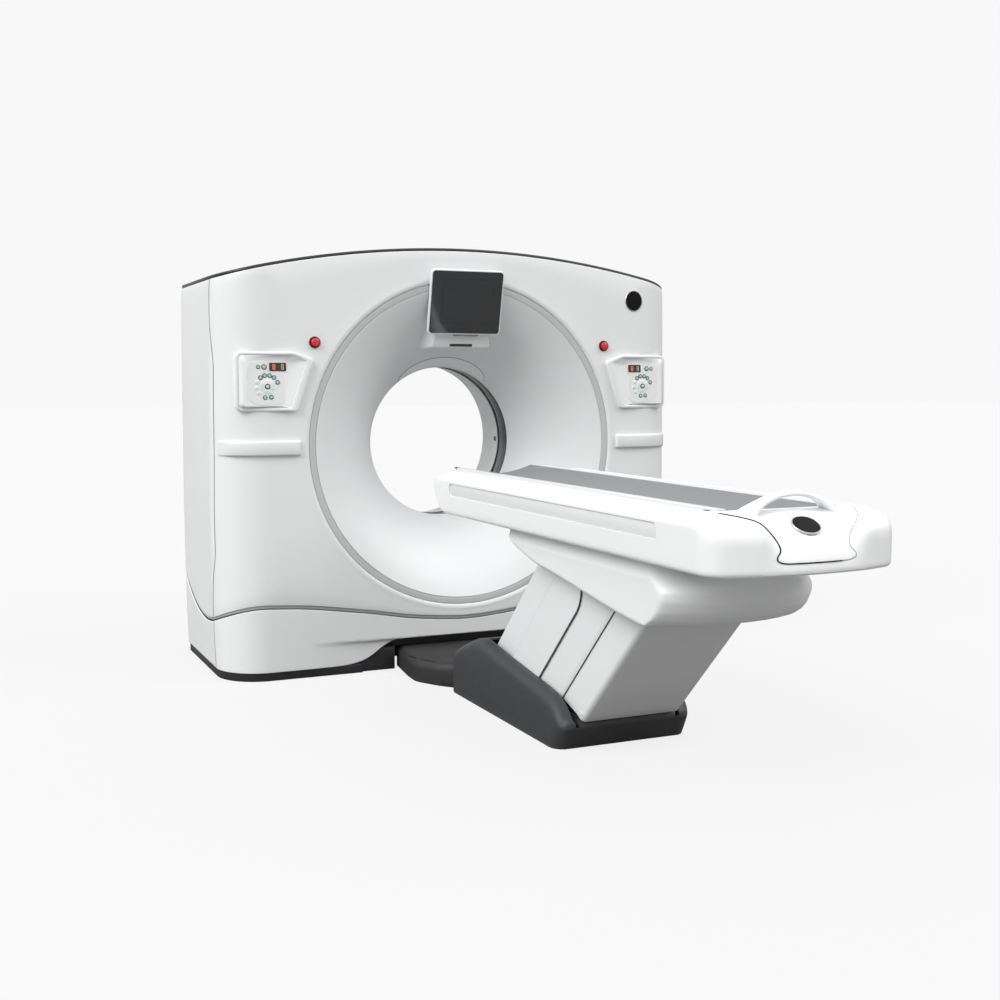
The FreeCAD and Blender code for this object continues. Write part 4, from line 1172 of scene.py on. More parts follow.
rows = []
for i in range(13):
    row = []
    for j in range(81):
        a = lerp(-PH, PH, j / 80)
        r = lerp(0.3565, cres_r(a), i / 12)
        lift = 0.0030 if 0 < i < 12 and 0 < j < 80 else 0.0006
        row.append((r * math.sin(a), fun_y(r) - lift, ISO + r * math.cos(a)))
    rows.append(row)
cres = grid("c1", rows, LINER, out=(0, 0.4, 1.4), sharp=40)


line = []
for j in range(81):
    a = lerp(-PH, PH, j / 80)
    r = cres_r(a)
    line.append((r * math.sin(a), fun_y(r) - 0.0008, ISO + r * math.cos(a)))
edge = wire("c2", line, 0.0014, SEAMGREY)
cres = join("crescent_lens", [cres, edge])
put(cres, "gantry", "window_dark", "crescent_window")

# laser openings in the liner
bits = []
for a in (0.0, 90.0, 270.0):
    t = math.radians(a)
    w, l0, l1 = 0.011, F(0.462), F(0.492)
    r = 0.3525
    rows = []
    for yy in (l0, l1):
        rr = 0.3512 + (yy - F(0.446)) / 0.175 * 0.0158 - 0.0012
        rows.append([(rr * math.sin(t + (k / 6 - 0.5) * w / r * 2), yy, ISO + rr * math.cos(t + (k / 6 - 0.5) * w / r * 2)) for k in range(7)])
    b = grid("b", rows, FILM, out=(0, 0.1, ISO))
    solidify(b, 0.003, 1.0)
    bits.append(b)
laser = join("laser_openings", bits)
put(laser, "gantry", "window_dark")

# ------------------------------------------------------------------- consoles


def face_y(x, z, lift):
    """The casing's outer surface at a place seen from the front."""
    ax = abs(x)
    if ax <= XF:
        return FACE - lift
    d = clamp((ax - XF) / RC, 0, 0.999)
    a = math.asin(d)
    return FACE + RC - (RC + lift) * math.cos(a)


def console(side):
    s = side
    out = rounded([(0.713, 1.385), (0.797, 1.4165), (1.046, 1.4165), (1.046, 1.166), (0.787, 1.166)], [0.014, 0.03, 0.026, 0.026, 0.018], 8)
    inn = rounded([(0.745, 1.379), (0.803, 1.4045), (1.034, 1.4045), (1.034, 1.179), (0.815, 1.179)], [0.010, 0.028, 0.018, 0.018, 0.012], 8)
    floor_ = rounded([(0.800, 1.372), (0.830, 1.3860), (1.020, 1.3860), (1.020, 1.187), (0.845, 1.187)], [0.010, 0.02, 0.014, 0.014, 0.012], 8)
    n = len(out)

    def back(x, z):
        return face_y(x, z, -0.001)

    def rim(x, z):
        return min(face_y(x, z, 0.019), FACE + 0.006)

    def flr(x, z):
        t = clamp((1.386 - z) / 0.2)
        return FACE + lerp(-0.0012, -0.0120, t)

    def ring(pts, f, scale=0.0):
        return [(s * x, f(x, z), z) for x, z in pts]

    def shrink(pts, d):
        cx = sum(p[0] for p in pts) / n
        cz = sum(p[1] for p in pts) / n
        res = []
        for x, z in pts:
            l = math.hypot(x - cx, z - cz)
            res.append((x - (x - cx) / l * d, z - (z - cz) / l * d))
        return res

    rings = [
        ring(out, back),
        ring(out, lambda x, z: rim(x, z) + 0.004),
        ring(shrink(out, 0.0012), lambda x, z: rim(x, z) + 0.0012),
        ring(shrink(out, 0.0040), lambda x, z: rim(x, z)),
        ring(shrink(inn, -0.0035), lambda x, z: rim(x, z)),
        ring(shrink(inn, -0.0008), lambda x, z: rim(x, z) + 0.0010),
        ring(inn, lambda x, z: rim(x, z) + 0.0030),
        ring(floor_, flr),
        ring(shrink(floor_, 0.02), flr),
    ]
    verts = [p for r in rings for p in r]
    faces = []
    for i in range(len(rings) - 1):
        for j in range(n):
            a, b = i * n + j, i * n + (j + 1) % n
            faces.append((a, b, b + n, a + n))
    faces.append(tuple((len(rings) - 1) * n + j for j in range(n)))
    ob = from_data("console_tray_left" if s < 0 else "console_tray_right", verts, faces, WHITE_GLOSS, 38, closed=False, out=(s * 0.9, 0.3, 1.29))
    return ob, flr


def keypad(side, flr):
    """Keys, dial and display of one console. The symbols on them are left out."""
    s = side
    obs = []
    shift = 0.0 if s < 0 else 0.0

    def disc(x, z, r, mat, lift, n=24, ring=None):
        rows = []
        for rr, dd in ((r, 0.0), (r * 0.96, -0.0009), (r * 0.86, -0.0013), (0.0, -0.0014)):
            rows.append([(x + rr * math.cos(2 * math.pi * k / n), flr(abs(x), z) - lift + dd, z + rr * math.sin(2 * math.pi * k / n)) for k in range(n)])
        obs.append(grid("d", rows, mat, wrap=True, out=(x, 1.0, z), sharp=40))

    cx = s * 0.914
    cz = 1.2700
    # membrane with its curved outline
    pts = rounded([(0.846, 1.194), (0.993, 1.194), (1.000, 1.376), (0.838, 1.376)], [0.02, 0.05, 0.04, 0.02], 8)
    obs.append(loft("m", [[(s * x, flr(x, z) + 0.002, z) for x, z in pts], [(s * x, flr(x, z) - 0.0008, z) for x, z in pts]], KEYFILM))
    sw = []
    for x, z in [(-0.066, 0.106), (-0.082, 0.090), (-0.090, 0.040), (-0.093, -0.010), (-0.086, -0.044), (-0.066, -0.064), (-0.030, -0.076), (0.010, -0.080), (0.040, -0.079)]:
        sw.append((cx + x, flr(0.914, cz + z) - 0.0009, cz + z))
    fine = []
    for i in range(len(sw) - 1):
        p0, p1, p2, p3 = (Vector(sw[max(i - 1, 0)]), Vector(sw[i]), Vector(sw[i + 1]), Vector(sw[min(i + 2, len(sw) - 1)]))
        for k in range(6):
            t = k / 6
            fine.append(tuple(0.5 * ((2 * p1) + (p2 - p0) * t + (2 * p0 - 5 * p1 + 4 * p2 - p3) * t * t + (3 * p1 - p0 - 3 * p2 + p3) * t**3)))
    obs.append(wire("sw", fine, 0.0009, LINER))
    # display
    dx0, dx1 = (-0.905, -0.832) if s < 0 else (0.838, 0.905)
    pts = rounded([(dx0, 1.336), (dx1, 1.336), (dx1, 1.371), (dx0, 1.371)], 0.004, 5)
    obs.append(loft("dp", [[(x, flr(abs(x), z) + 0.001, z) for x, z in pts], [(x, flr(abs(x), z) - 0.0026, z) for x, z in pts]], SCREEN))

    def bar(x0, x1, z0, z1, mat, lift=0.0029):
        obs.append(loft("b", [[(x, flr(abs(x), z) - l, z) for x, z in ((x0, z0), (x1, z0), (x1, z1), (x0, z1))] for l in (0.002, lift)], mat))

    for gx, m in ((dx0 + 0.020, LEDRED), (dx1 - 0.016, LEDOLIVE)):
        w, h, t = 0.0085, 0.020, 0.0026
        zc = 1.3535
        for dz in (-h / 2, 0, h / 2):
            bar(gx - w / 2, gx + w / 2, zc + dz - t / 2, zc + dz + t / 2, m)
        for dx in (-w / 2, w / 2):
            bar(gx + dx - t / 2, gx + dx + t / 2, zc - h / 2, zc + h / 2, m)
    # two keys beside the display
    for dx, r in ((-0.038, 0.0098), (-0.013, 0.0125)):
        x = cx + dx if s < 0 else cx + dx + 0.0
        if s > 0:
            x = 0.925 + (0.013 if dx > -0.03 else 0.038)
        disc(x, 1.3525, r, OLIVE, 0.0008)
        disc(x, 1.3525, r * 0.55, MINT, 0.0022)
    # ring of keys round the dial
    for a, dark in ((128, 1), (104, 1), (78, 1), (53, 1), (22, 1), (158, 0), (188, 0), (-143, 0), (-104, 1), (-72, 1)):
        t = math.radians(a)
        rr = 0.0475
        x, z = cx + rr * math.cos(t), cz + rr * math.sin(t)
        disc(x, z, 0.0102, KEYDARK if dark else LINER, 0.0008)
        disc(x, z, 0.0062, MINT if dark else MINTL, 0.0022, n=16)
    disc(cx, cz, 0.0330, LINER, 0.0008, n=40)
    for a in (0, 90, 180, 270):
        pts = []
        for k in range(9):
            t = math.radians(a - 30 + 60 * k / 8)
            pts.append((0.0285 * math.cos(t), 0.0285 * math.sin(t)))
        for k in range(9):
            t = math.radians(a + 30 - 60 * k / 8)
            pts.append((0.0165 * math.cos(t), 0.0165 * math.sin(t)))
        obs.append(loft("g", [[(cx + x, flr(0.914, cz + z) - l, cz + z) for x, z in pts] for l in (0.0018, 0.0031)], MINTL, 60))
    disc(cx, cz, 0.0125, KEYDARK, 0.0022)
    disc(cx, cz, 0.0070, MINTL, 0.0036, n=16)
    return obs


pads = []
for side, nm in ((-1, "console_left"), (1, "console_right")):
    tray, flr = console(side)
    put(tray, "gantry", "display_white", nm)
    pads += keypad(side, flr)
keys = join("console_keys", pads)
put(keys, "gantry", "keypad_film", "console_keypads")

# ------------------------------------------------------------------ trim bars


def trim_bar(side):
    prof = [(-0.0006, 0.976), (0.0085, 0.976), (0.0125, 0.9785), (0.0140, 0.984), (0.0145, 1.008), (0.0140, 1.031), (0.0125, 1.0365), (0.0085, 1.039), (-0.0006, 1.039)]
    rings = []
    smax = s_of_y(0.118)
    n = 60
    for i in range(n + 1):
        t = i / n
        s = lerp(-(XF - 0.772), smax, t)
        end = min(1.0, math.sqrt(max(0.0, 1 - (1 - clamp((s + XF - 0.772) / 0.006)) ** 2)) if s < -(XF - 0.772) + 0.006 else 1.0)
        thin = 1 - sstep(smax - 0.10, smax, s) * 0.75
        ring = []
        for d, z in prof:
            x, y = plan(s, z, side, -d * (thin if d > 0 else 1) * (0.55 + 0.45 * end))
            ring.append((x, y, 1.0075 + (z - 1.0075) * (0.90 + 0.10 * end)))
        rings.append(ring)
    return loft("bar_left" if side < 0 else "bar_right", rings, BAR, 50)


put(trim_bar(-1), "gantry", "bar_grey", "trim_bar_left")
put(trim_bar(1), "gantry", "bar_grey", "trim_bar_right")

# --------------------------------------------------------------- stop buttons
cols = []
for sx, nm, jb in ((-1, "estop_button_left", "stop_button_left"), (1, "estop_button_right", "stop_button_right")):
    x0 = sx * 0.704

    def spin(prof, mat, n=48, sharp=40):
        rows = []
        for r, y in prof:
            rows.append([(x0 + r * math.cos(2 * math.pi * k / n), y, 1.459 + r * math.sin(2 * math.pi * k / n)) for k in range(n)])
        return grid("k", rows, mat, wrap=True, sharp=sharp, out=(x0, 0.0, 1.459))

    cols.append(spin([(0.0252, F(0.0)), (0.0252, F(-0.0035)), (0.0243, F(-0.0055)), (0.0225, F(-0.0063)), (0.0196, F(-0.0055)), (0.0188, F(-0.004)), (0.0188, F(0.004))], MAROON))
    b = spin(
        [(0.0172, F(0.004)), (0.0172, F(-0.0085)), (0.0176, F(-0.0098)), (0.0174, F(-0.0130)), (0.0160, F(-0.0152)), (0.0120, F(-0.0166)), (0.0085, F(-0.0170)), (0.0078, F(-0.0164)), (0.0062, F(-0.0164)), (0.0054, F(-0.0170)), (0.0, F(-0.0172))],
        RED,
    )
    b.name = "stop_dome_left" if sx < 0 else "stop_dome_right"
    put(b, jb, "stop_red", nm)
collars = join("stop_rings", cols)
put(collars, "gantry", "stop_collar", "estop_collars")

# --------------------------------------------------------------- plain badges


def badge(name, centre, normal, up, rx, ry, mat_in=None, lift=0.0):
    n = Vector(normal).normalized()
    u = Vector(up).normalized()
    r = u.cross(n).normalized()
    c = Vector(centre) + n * lift
    parts = []
    k = 56
    rows = []
    for f, h in ((1.0, -0.002), (1.0, 0.0016), (0.985, 0.0024), (0.955, 0.0026), (0.925, 0.0022), (0.915, 0.0012)):
        rows.append([tuple(c + r * (rx * f * math.cos(2 * math.pi * i / k)) + u * (ry * f * math.sin(2 * math.pi * i / k)) + n * h) for i in range(k)])
    parts.append(grid("r", rows, SILVER, wrap=True, out=tuple(c - n), sharp=40))
    rows = []
    for f, h in ((0.918, 0.0012), (0.7, 0.0016), (0.4, 0.0019), (0.0, 0.0020)):
        rows.append([tuple(c + r * (rx * f * math.cos(2 * math.pi * i / k)) + u * (ry * f * math.sin(2 * math.pi * i / k)) + n * h) for i in range(k)])
    parts.append(grid("i", rows, INK, wrap=True, out=tuple(c - n), sharp=40))
    return join(name, parts)


bd = badge("badge_gantry", (0.866, FACE, 1.673), (0, -1, 0), (0, 0, 1), 0.0465, 0.0500)
put(bd, "gantry", "trim_black")

# ------------------------------------------------------------ tabletop's body
THW = 0.330
nose_y = table(
    [(0.757, -0.500), (0.763, -0.496), (0.780, -0.468), (0.800, -0.440), (0.840, -0.415), (0.867, -0.407), (0.890, -0.425), (0.905, -0.455), (0.916, -0.488), (0.925, -0.520)]
)
foot_y = table(
    [(0.757, -2.532), (0.762, -2.537), (0.770, -2.539), (0.850, -2.539), (0.875, -2.534), (0.892, -2.521), (0.905, -2.500), (0.915, -2.468), (0.922, -2.428), (0.925, -2.400)]
)
# the middle of the foot end slopes back further than its two corners
mid_y = table(
    [(0.757, -2.529), (0.762, -2.535), (0.770, -2.537), (0.790, -2.534), (0.815, -2.527), (0.838, -2.517), (0.858, -2.502), (0.875, -2.483), (0.890, -2.461), (0.904, -2.436), (0.915, -2.411), (0.925, -2.388)]
)
side_in = table(
    [(0.757, 0.011), (0.7585, 0.007), (0.762, 0.003), (0.768, 0.0006), (0.776, 0.0), (0.888, 0.0), (0.898, 0.0022), (0.907, 0.007), (0.914, 0.0135), (0.920, 0.022), (0.9238, 0.032), (0.925, 0.042)]
)


def top_outline(z, grow=0.0):
    hw = THW - side_in(z) + grow
    yf, yb = F(nose_y(z)) + grow, F(foot_y(z)) - grow
    big = 0.90

    def sag(x):
        return big - math.sqrt(big * big - x * x)

    pts = [(-hw, yf), (hw, yf), (hw, yb + sag(hw))]
    rad = [0.045, 0.045, 0.120]
    for k in range(41):
        x = 0.205 * (1 - k / 20)
        dent = (mid_y(z) - foot_y(z)) * (1 - sstep(0.10, 0.185, abs(x)))
        pts.append((x, yb + sag(x) + dent))
        rad.append(0)
    pts.append((-hw, yb + sag(hw)))
    rad.append(0.120)
    return [(x, y, z) for x, y in rounded(pts, rad, 10)]


levels = [0.757, 0.7585, 0.762, 0.768, 0.776, 0.788, 0.800, 0.815, 0.828, 0.840, 0.854, 0.867, 0.876, 0.883, 0.888, 0.893, 0.898, 0.9025, 0.907, 0.911, 0.9145, 0.9175, 0.920, 0.922, 0.9238, 0.9247, 0.925]
body = loft("tabletop_body", [top_outline(z) for z in levels], WHITE_GLOSS, sharp=38)
_dg = bpy.context.evaluated_depsgraph_get()
BODY_TREE = BVHTree.FromObject(body, _dg)
tool = prism(
    "t", [(-0.228, 0.852), (0.228, 0.852), (0.228, 0.9195), (0.2335, 0.9265), (0.2335, 0.96), (-0.2335, 0.96), (-0.2335, 0.9265), (-0.228, 0.9195)], "y", F(-2.337), F(-0.3), WHITE_GLOSS
)
boolean(body, tool)
boolean(body, box("t", -0.222, 0.222, F(-2.338), F(-0.515), 0.763, 0.848, WHITE_GLOSS))
boolean(body, box("t", -0.225, 0.225, F(-2.2), F(-1.08), 0.72, 0.77, WHITE_GLOSS))
for s in (-1, 1):
    boolean(body, box("t", s * 0.040 - 0.0205, s * 0.040 + 0.0205, F(-2.330), F(-0.4775), 0.84, 0.90, WHITE_GLOSS))
    inset = rounded([(F(-2.205), 0.834), (F(-0.604), 0.834), (F(-0.604), 0.884), (F(-2.205), 0.884)], 0.017, 8)
    a, b = sorted((s * 0.3255, s * 0.36))
    boolean(body, prism("t", inset, "x", a, b, WHITE_GLOSS))
inl = []
for s in (-1, 1):
    inset = rounded([(F(-2.2042), 0.8348), (F(-0.6048), 0.8348), (F(-0.6048), 0.8832), (F(-2.2042), 0.8832)], 0.0162, 8)
    a, b = sorted((s * 0.3245, s * 0.3262))
    pl = prism("inlay", inset, "x", a, b, INLAY)
    bevel(pl, 0.0005, 2, 50)
    apply(pl)
    inl.append(pl)
finish = [p for p in inl]
# the dark lip under the gantry end, and the stop beside the near rim
lip = prism("lip", rounded([(-0.22, F(-0.560)), (0.22, F(-0.560)), (0.20, F(-0.503)), (-0.20, F(-0.503))], 0.012, 5), "z", 0.7525, 0.7568, SEAMGREY)
bevel(lip, 0.0012, 2, 50)
apply(lip)
stops = []
for s in (-1, 1):
    a, b = sorted((s * 0.2205, s * 0.2275))
    st = prism("stop", rounded([(a, F(-2.315)), (b, F(-2.315)), (b, F(-2.292)), (a, F(-2.292))], 0.0015, 3), "z", 0.915, 0.9262, BLACK)
    bevel(st, 0.0008, 2, 50)
    apply(st)
    stops.append(st)
body = join("tabletop_body", [body] + finish + [lip] + stops)
put(body, "tabletop", "casing_white", "tabletop_cover")

# The end panel wraps over the foot end; its outline is set by a half width at
# each angle round the end, seen from a line inside the body.
AX_Y, AX_Z = F(-2.33), 0.80


def end_hit(x, ang, lift=0.0):
    d = Vector((0, -math.cos(ang), math.sin(ang)))
    loc, nor, idx, dist = BODY_TREE.ray_cast(Vector((x, AX_Y, AX_Z)), d)
    if loc is None:
        return None
    if nor.dot(d) < 0:
        nor = -nor
    return loc + nor * lift


# ------------------------------------------------------------------- cradle
CRA0, CRA1 = F(-0.399), F(-2.334)
cr_half = [(0.0, 0.861), (0.100, 0.8615), (0.150, 0.866), (0.185, 0.876), (0.204, 0.889), (0.2125, 0.903), (0.215, 0.915), (0.215, 0.9245), (0.2135, 0.9285), (0.2095, 0.9308), (0.200, 0.9316), (0.192, 0.9314), (0.1870, 0.9298), (0.1848, 0.9265), (0.1842, 0.9205)]


def dish(x, lift):
    e = abs(x) / 0.183
    return 0.8825 + lift + 0.0365 * e * e


dish_x = [0.1842 * (1 - i / 12) for i in range(1, 13)]


def cradle_ring(y, f=0.0):
    half = [(x - (f if x > 0.15 else f * x / 0.15), z + f * 0.8 * clamp((0.9 - z) / 0.03)) for x, z in cr_half]
    inner = [(x, dish(x, -0.0004)) for x in dish_x]
    right = half + inner[:-1]
    left = [(-x, z) for x, z in reversed(half[1:] + inner[:-1])]
    return [(x, y, z) for x, z in right + [(0.0, dish(0, -0.0004))] + left]


ys = [(CRA1, 0.006), (CRA1 + 0.002, 0.002), (CRA1 + 0.006, 0.0)]
ys += [(lerp(CRA1 + 0.01, CRA0 - 0.01, i / 20), 0.0) for i in range(21)]
ys += [(CRA0 - 0.006, 0.0), (CRA0 - 0.002, 0.002), (CRA0, 0.006)]
cradle = loft("cradle_shell", [cradle_ring(y, f) for y, f in ys], CRADLE, sharp=36)
put(cradle, "sliding_cradle", "cradle_shell", "cradle")

# ---------------------------------------------------------------------- mat
M0, M1, MHW = F(-0.300), F(-2.327), 0.1828


def mat_mesh(name, quick):
    nx, ny = (14, 60) if quick else (34, 300)
    xs = [0.0]
    # closer rows at the edges, where the sides are rolled
    for i in range(nx + 1):
        t = -1 + 2 * i / nx
        xs.append(MHW * math.sin(t * math.pi / 2) * 0.35 + MHW * t * 0.65)
    xs = xs[1:]
    yy = []
    for j in range(ny + 1):
        t = -1 + 2 * j / ny
        yy.append(lerp(M1, M0, 0.5 + 0.5 * (0.02 * math.sin(t * math.pi / 2) + 0.98 * t)))
    verts, faces = [], []
    top, bot = {}, {}
    for j, y in enumerate(yy):
        for i, x in enumerate(xs):
            dx = MHW - abs(x)
            dy = min(y - M1, M0 - y)
            d = min(dx, dy)
            # the rolled border: thick at the seam's inner side, closed at the rim
            k = math.sqrt(max(0.0, 1 - (1 - clamp(d / 0.007)) ** 2))
            th = 0.0030 + 0.0088 * k
            seam = -0.0011 * math.exp(-(((d - 0.013) / 0.0016) ** 2))
            crown = 0.0012 * sstep(0.0, 0.06, d)
            mid = dish(x, 0.0068)
            zt = mid + th / 2 + (seam + crown) * (1 if d > 0.001 else 0)
            zb = mid - th / 2
            top[i, j] = len(verts)
            verts.append((x, y, zt))
            bot[i, j] = len(verts)
            verts.append((x, y, max(zb, dish(x, 0.0006))))
    for j in range(ny):
        for i in range(nx):
            faces.append((top[i, j], top[i + 1, j], top[i + 1, j + 1], top[i, j + 1]))
            faces.append((bot[i, j], bot[i, j + 1], bot[i + 1, j + 1], bot[i + 1, j]))
    for j in range(ny):
        faces.append((top[0, j], top[0, j + 1], bot[0, j + 1], bot[0, j]))
        faces.append((top[nx, j], bot[nx, j], bot[nx, j + 1], top[nx, j + 1]))
    for i in range(nx):
        faces.append((top[i, 0], bot[i, 0], bot[i + 1, 0], top[i + 1, 0]))
        faces.append((top[i, ny], top[i + 1, ny], bot[i + 1, ny], bot[i, ny]))
    return from_data(name, verts, faces, MAT, sharp=60)


def fill_out(ob, held, frames, press, cap):
    """Lets a closed cover swell as cloth under its filling; the held points stay put."""
    sc = bpy.context.scene
    keep = ob.vertex_groups.new(name="held")
    keep.add(held, 1.0, "REPLACE")
    md = ob.modifiers.new("swell", "CLOTH")
    st = md.settings
    st.quality = 5
    st.mass = 0.25
    st.tension_stiffness = 12
    st.compression_stiffness = 12
    st.shear_stiffness = 6
    st.bending_stiffness = 0.6
    st.use_pressure = True
    st.uniform_pressure_force = press
    st.effector_weights.gravity = 0
    st.vertex_group_mass = "held"
    md.collision_settings.use_collision = False
    md.collision_settings.use_self_collision = False
    md.point_cache.frame_start = 1
    md.point_cache.frame_end = frames
    for f in range(1, frames + 1):
        sc.frame_set(f)
    got = ob.evaluated_get(bpy.context.evaluated_depsgraph_get())
    me = got.to_mesh()
    after = [v.co.copy() for v in me.vertices]
    got.to_mesh_clear()
    ob.modifiers.remove(md)
    ob.vertex_groups.clear()
    sc.frame_set(1)
    far = 0.0
    for v, b in zip(ob.data.vertices, after):
        d = b - v.co
        if d.length > cap:
            d *= cap / d.length
        far = max(far, d.length)
        v.co += d
    print("cover moved by up to %.2f mm" % (far * 1000))


mat = mat_mesh("mat_pad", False)
# the seam, the rolled border and the underside stay where they are
still = []
for v in mat.data.vertices:
    x_, y_, z_ = v.co
    rim_ = min(MHW - abs(x_), y_ - M1, M0 - y_)
    if rim_ < 0.0145 or z_ < dish(x_, 0.0068):
        still.append(v.index)
fill_out(mat, still, 16, 1.0, 0.0022)
put(mat, "sliding_cradle", "mat_grey", "mat")

# ---------------------------------------------------------- handle at the foot
HR = 0.232
HZ = 0.982 - HR
rings = []
NA = 44
a1 = math.asin(0.1680 / HR)
for i in range(NA + 1):
    a = lerp(-a1, a1, i / NA)
    u = abs(a) / a1
    th = lerp(0.0135, 0.020, sstep(0.55, 1.0, u))
    flare = sstep(0.40, 1.0, u) ** 1.5
    wy = lerp(0.0200, 0.047, flare)
    cy = F(lerp(-2.396, -2.387, flare))
    sec = rounded([(-wy, -th), (wy, -th), (wy, 0.0), (-wy, 0.0)], 0.0058, 5)
    ring = []
    for p, q in sec:
        # the blade leans so that its front edge stands a little lower
        r = HR + q - 0.0025 * (1 - flare) * (0.5 - 0.5 * p / wy)
        ring.append((r * math.sin(a), cy + p, HZ + r * math.cos(a)))
    rings.append(ring)
hoop = loft("foot_handle", rings, WHITE_GLOSS, sharp=40)
put(hoop, "tabletop", "hoop_white", "hoop_handle")

# ------------------------------------------------------------ saddle shroud
sh_low = table(
    [(-2.262, 0.745), (-2.261, 0.722), (-2.258, 0.690), (-2.250, 0.660), (-2.236, 0.630), (-2.216, 0.604), (-2.190, 0.580), (-2.165, 0.563), (-2.140, 0.552), (-2.115, 0.546), (-2.095, 0.5435), (-2.070, 0.5430), (-2.028, 0.545), (-1.940, 0.553), (-1.849, 0.564), (-1.639, 0.594), (-1.424, 0.625), (-1.287, 0.641), (-1.205, 0.661), (-1.136, 0.678), (-1.074, 0.701), (-1.050, 0.720), (-1.040, 0.742)]
)


def lerp_table(pts):
    def f(x):
        if x <= pts[0][0]:
            return pts[0][1]
        for (a, p), (b, q) in zip(pts, pts[1:]):
            if x <= b:
                return lerp(p, q, (x - a) / (b - a))
        return pts[-1][1]

    return f


SHW, SH_TOP = 0.280, 0.7562


sh_end = lerp_table([(0.5435, -2.095), (0.546, -2.115), (0.552, -2.140), (0.563, -2.165), (0.580, -2.190), (0.604, -2.216), (0.630, -2.236), (0.660, -2.250), (0.690, -2.258), (0.722, -2.261), (0.745, -2.262)])
sh_side = lerp_table([(0.5435, -2.020), (0.553, -2.062), (0.575, -2.100), (0.600, -2.126), (0.640, -2.148), (0.665, -2.148), (0.685, -2.130), (0.705, -2.090), (0.730, -2.065), (0.7562, -2.055)])


def shroud_half(y, z):
    """Half width: flat sides that end along a curve, then the rounded foot end."""
    ys, ye = sh_side(z), sh_end(z)
    t = clamp((y - ye) / (ys - ye), 0.0, 4.0)
    xe = SHW * t**0.44
    k = 0.016
    h = clamp(0.5 + 0.5 * (SHW - xe) / k)
    x = lerp(SHW, xe, h) - k * h * (1 - h)
    g = clamp((y + 1.085) / 0.045)
    return x - 0.030 * (1 - math.sqrt(max(0.0, 1 - g * g)))


def shroud_ring(y):
    zb = sh_low(y)
    cz = 0.705 if zb < 0.690 else zb + (SH_TOP - zb) * 0.3
    tuck = min(0.020, (SH_TOP - cz) * 0.42)
    rr = 0.016 * sstep(2.09, 2.03, -y) + 1e-4
    side = []
    for i in range(23):
        z = lerp(zb, cz - 0.003, (i / 22) ** 1.6)
        d = z - zb
        x = shroud_half(y, z)
        if d < rr:
            x -= rr - math.sqrt(rr * rr - (rr - d) ** 2)
        side.append((max(x, 0.002), z))
    side.append((max(shroud_half(y, cz + 0.003) - 0.0035, 0.002), cz + 0.003))
    for i in (1, 2, 3):
        z = lerp(cz + 0.003, SH_TOP, i / 3)
        side.append((max(shroud_half(y, z) - lerp(0.0035, tuck, i / 3), 0.002), z))
    right = [(x, F(y), z) for x, z in side]
    left = [(-x, F(y), z) for x, z in reversed(side)]
    return right + left


shy = [-1.0402, -1.042, -1.046, -1.052, -1.060, -1.072, -1.085]
shy += [lerp(-1.10, -1.98, i / 22) for i in range(23)]
shy += [lerp(-1.99, -2.235, i / 62) for i in range(63)]
shy += [-2.238, -2.241, -2.244, -2.247, -2.250, -2.2525, -2.255, -2.257, -2.259, -2.2605, -2.2615]
shroud = loft("shroud_shell", [shroud_ring(y) for y in shy], WHITE, sharp=42)
hollow = prism("t", [(F(y), z) for y, z in [(-1.046, 0.80), (-1.046, 0.50), (-1.990, 0.50), (-1.990, 0.556), (-2.090, 0.556), (-2.130, 0.566), (-2.170, 0.592), (-2.200, 0.625), (-2.220, 0.665), (-2.228, 0.720), (-2.228, 0.80)]], "x", -0.110, 0.110, WHITE)
hol2 = prism("t2", [(F(y), z) for y, z in [(-1.046, 0.80), (-1.046, 0.50), (-1.990, 0.50), (-1.990, 0.556), (-2.040, 0.556), (-2.040, 0.80)]], "x", -0.2545, 0.2545, WHITE)
boolean(shroud, hollow)
boolean(shroud, hol2)
put(shroud, "tabletop", "shroud_white", "saddle_shroud")

# ------------------------------------------------------------- cover strips
SHT = 0.005


def at45(piv, along, across):
    c = math.sqrt(0.5)
    return (piv[0] - along * c + across * c, piv[1] + along * c + across * c)


def strip_solid(name, piv, sec, start, end, mat, steps=10, edge=0.0011):
    """A sheet part leaning at rest: sec is its closed outline as (x, across)."""
    rings = []
    for i in range(steps + 1):
        f = i / steps
        f = f * f * (3 - 2 * f) * 0.35 + f * 0.65
        ring = []
        for x, n in sec:
            y, z = at45(piv, lerp(start(n), end(n), f), n)
            ring.append((x, y, z))
        rings.append(ring)
    ob = loft(name, rings, mat, sharp=36)
    if edge:
        bevel(ob, edge, 2, 55)
        apply(ob, 36)
    return ob


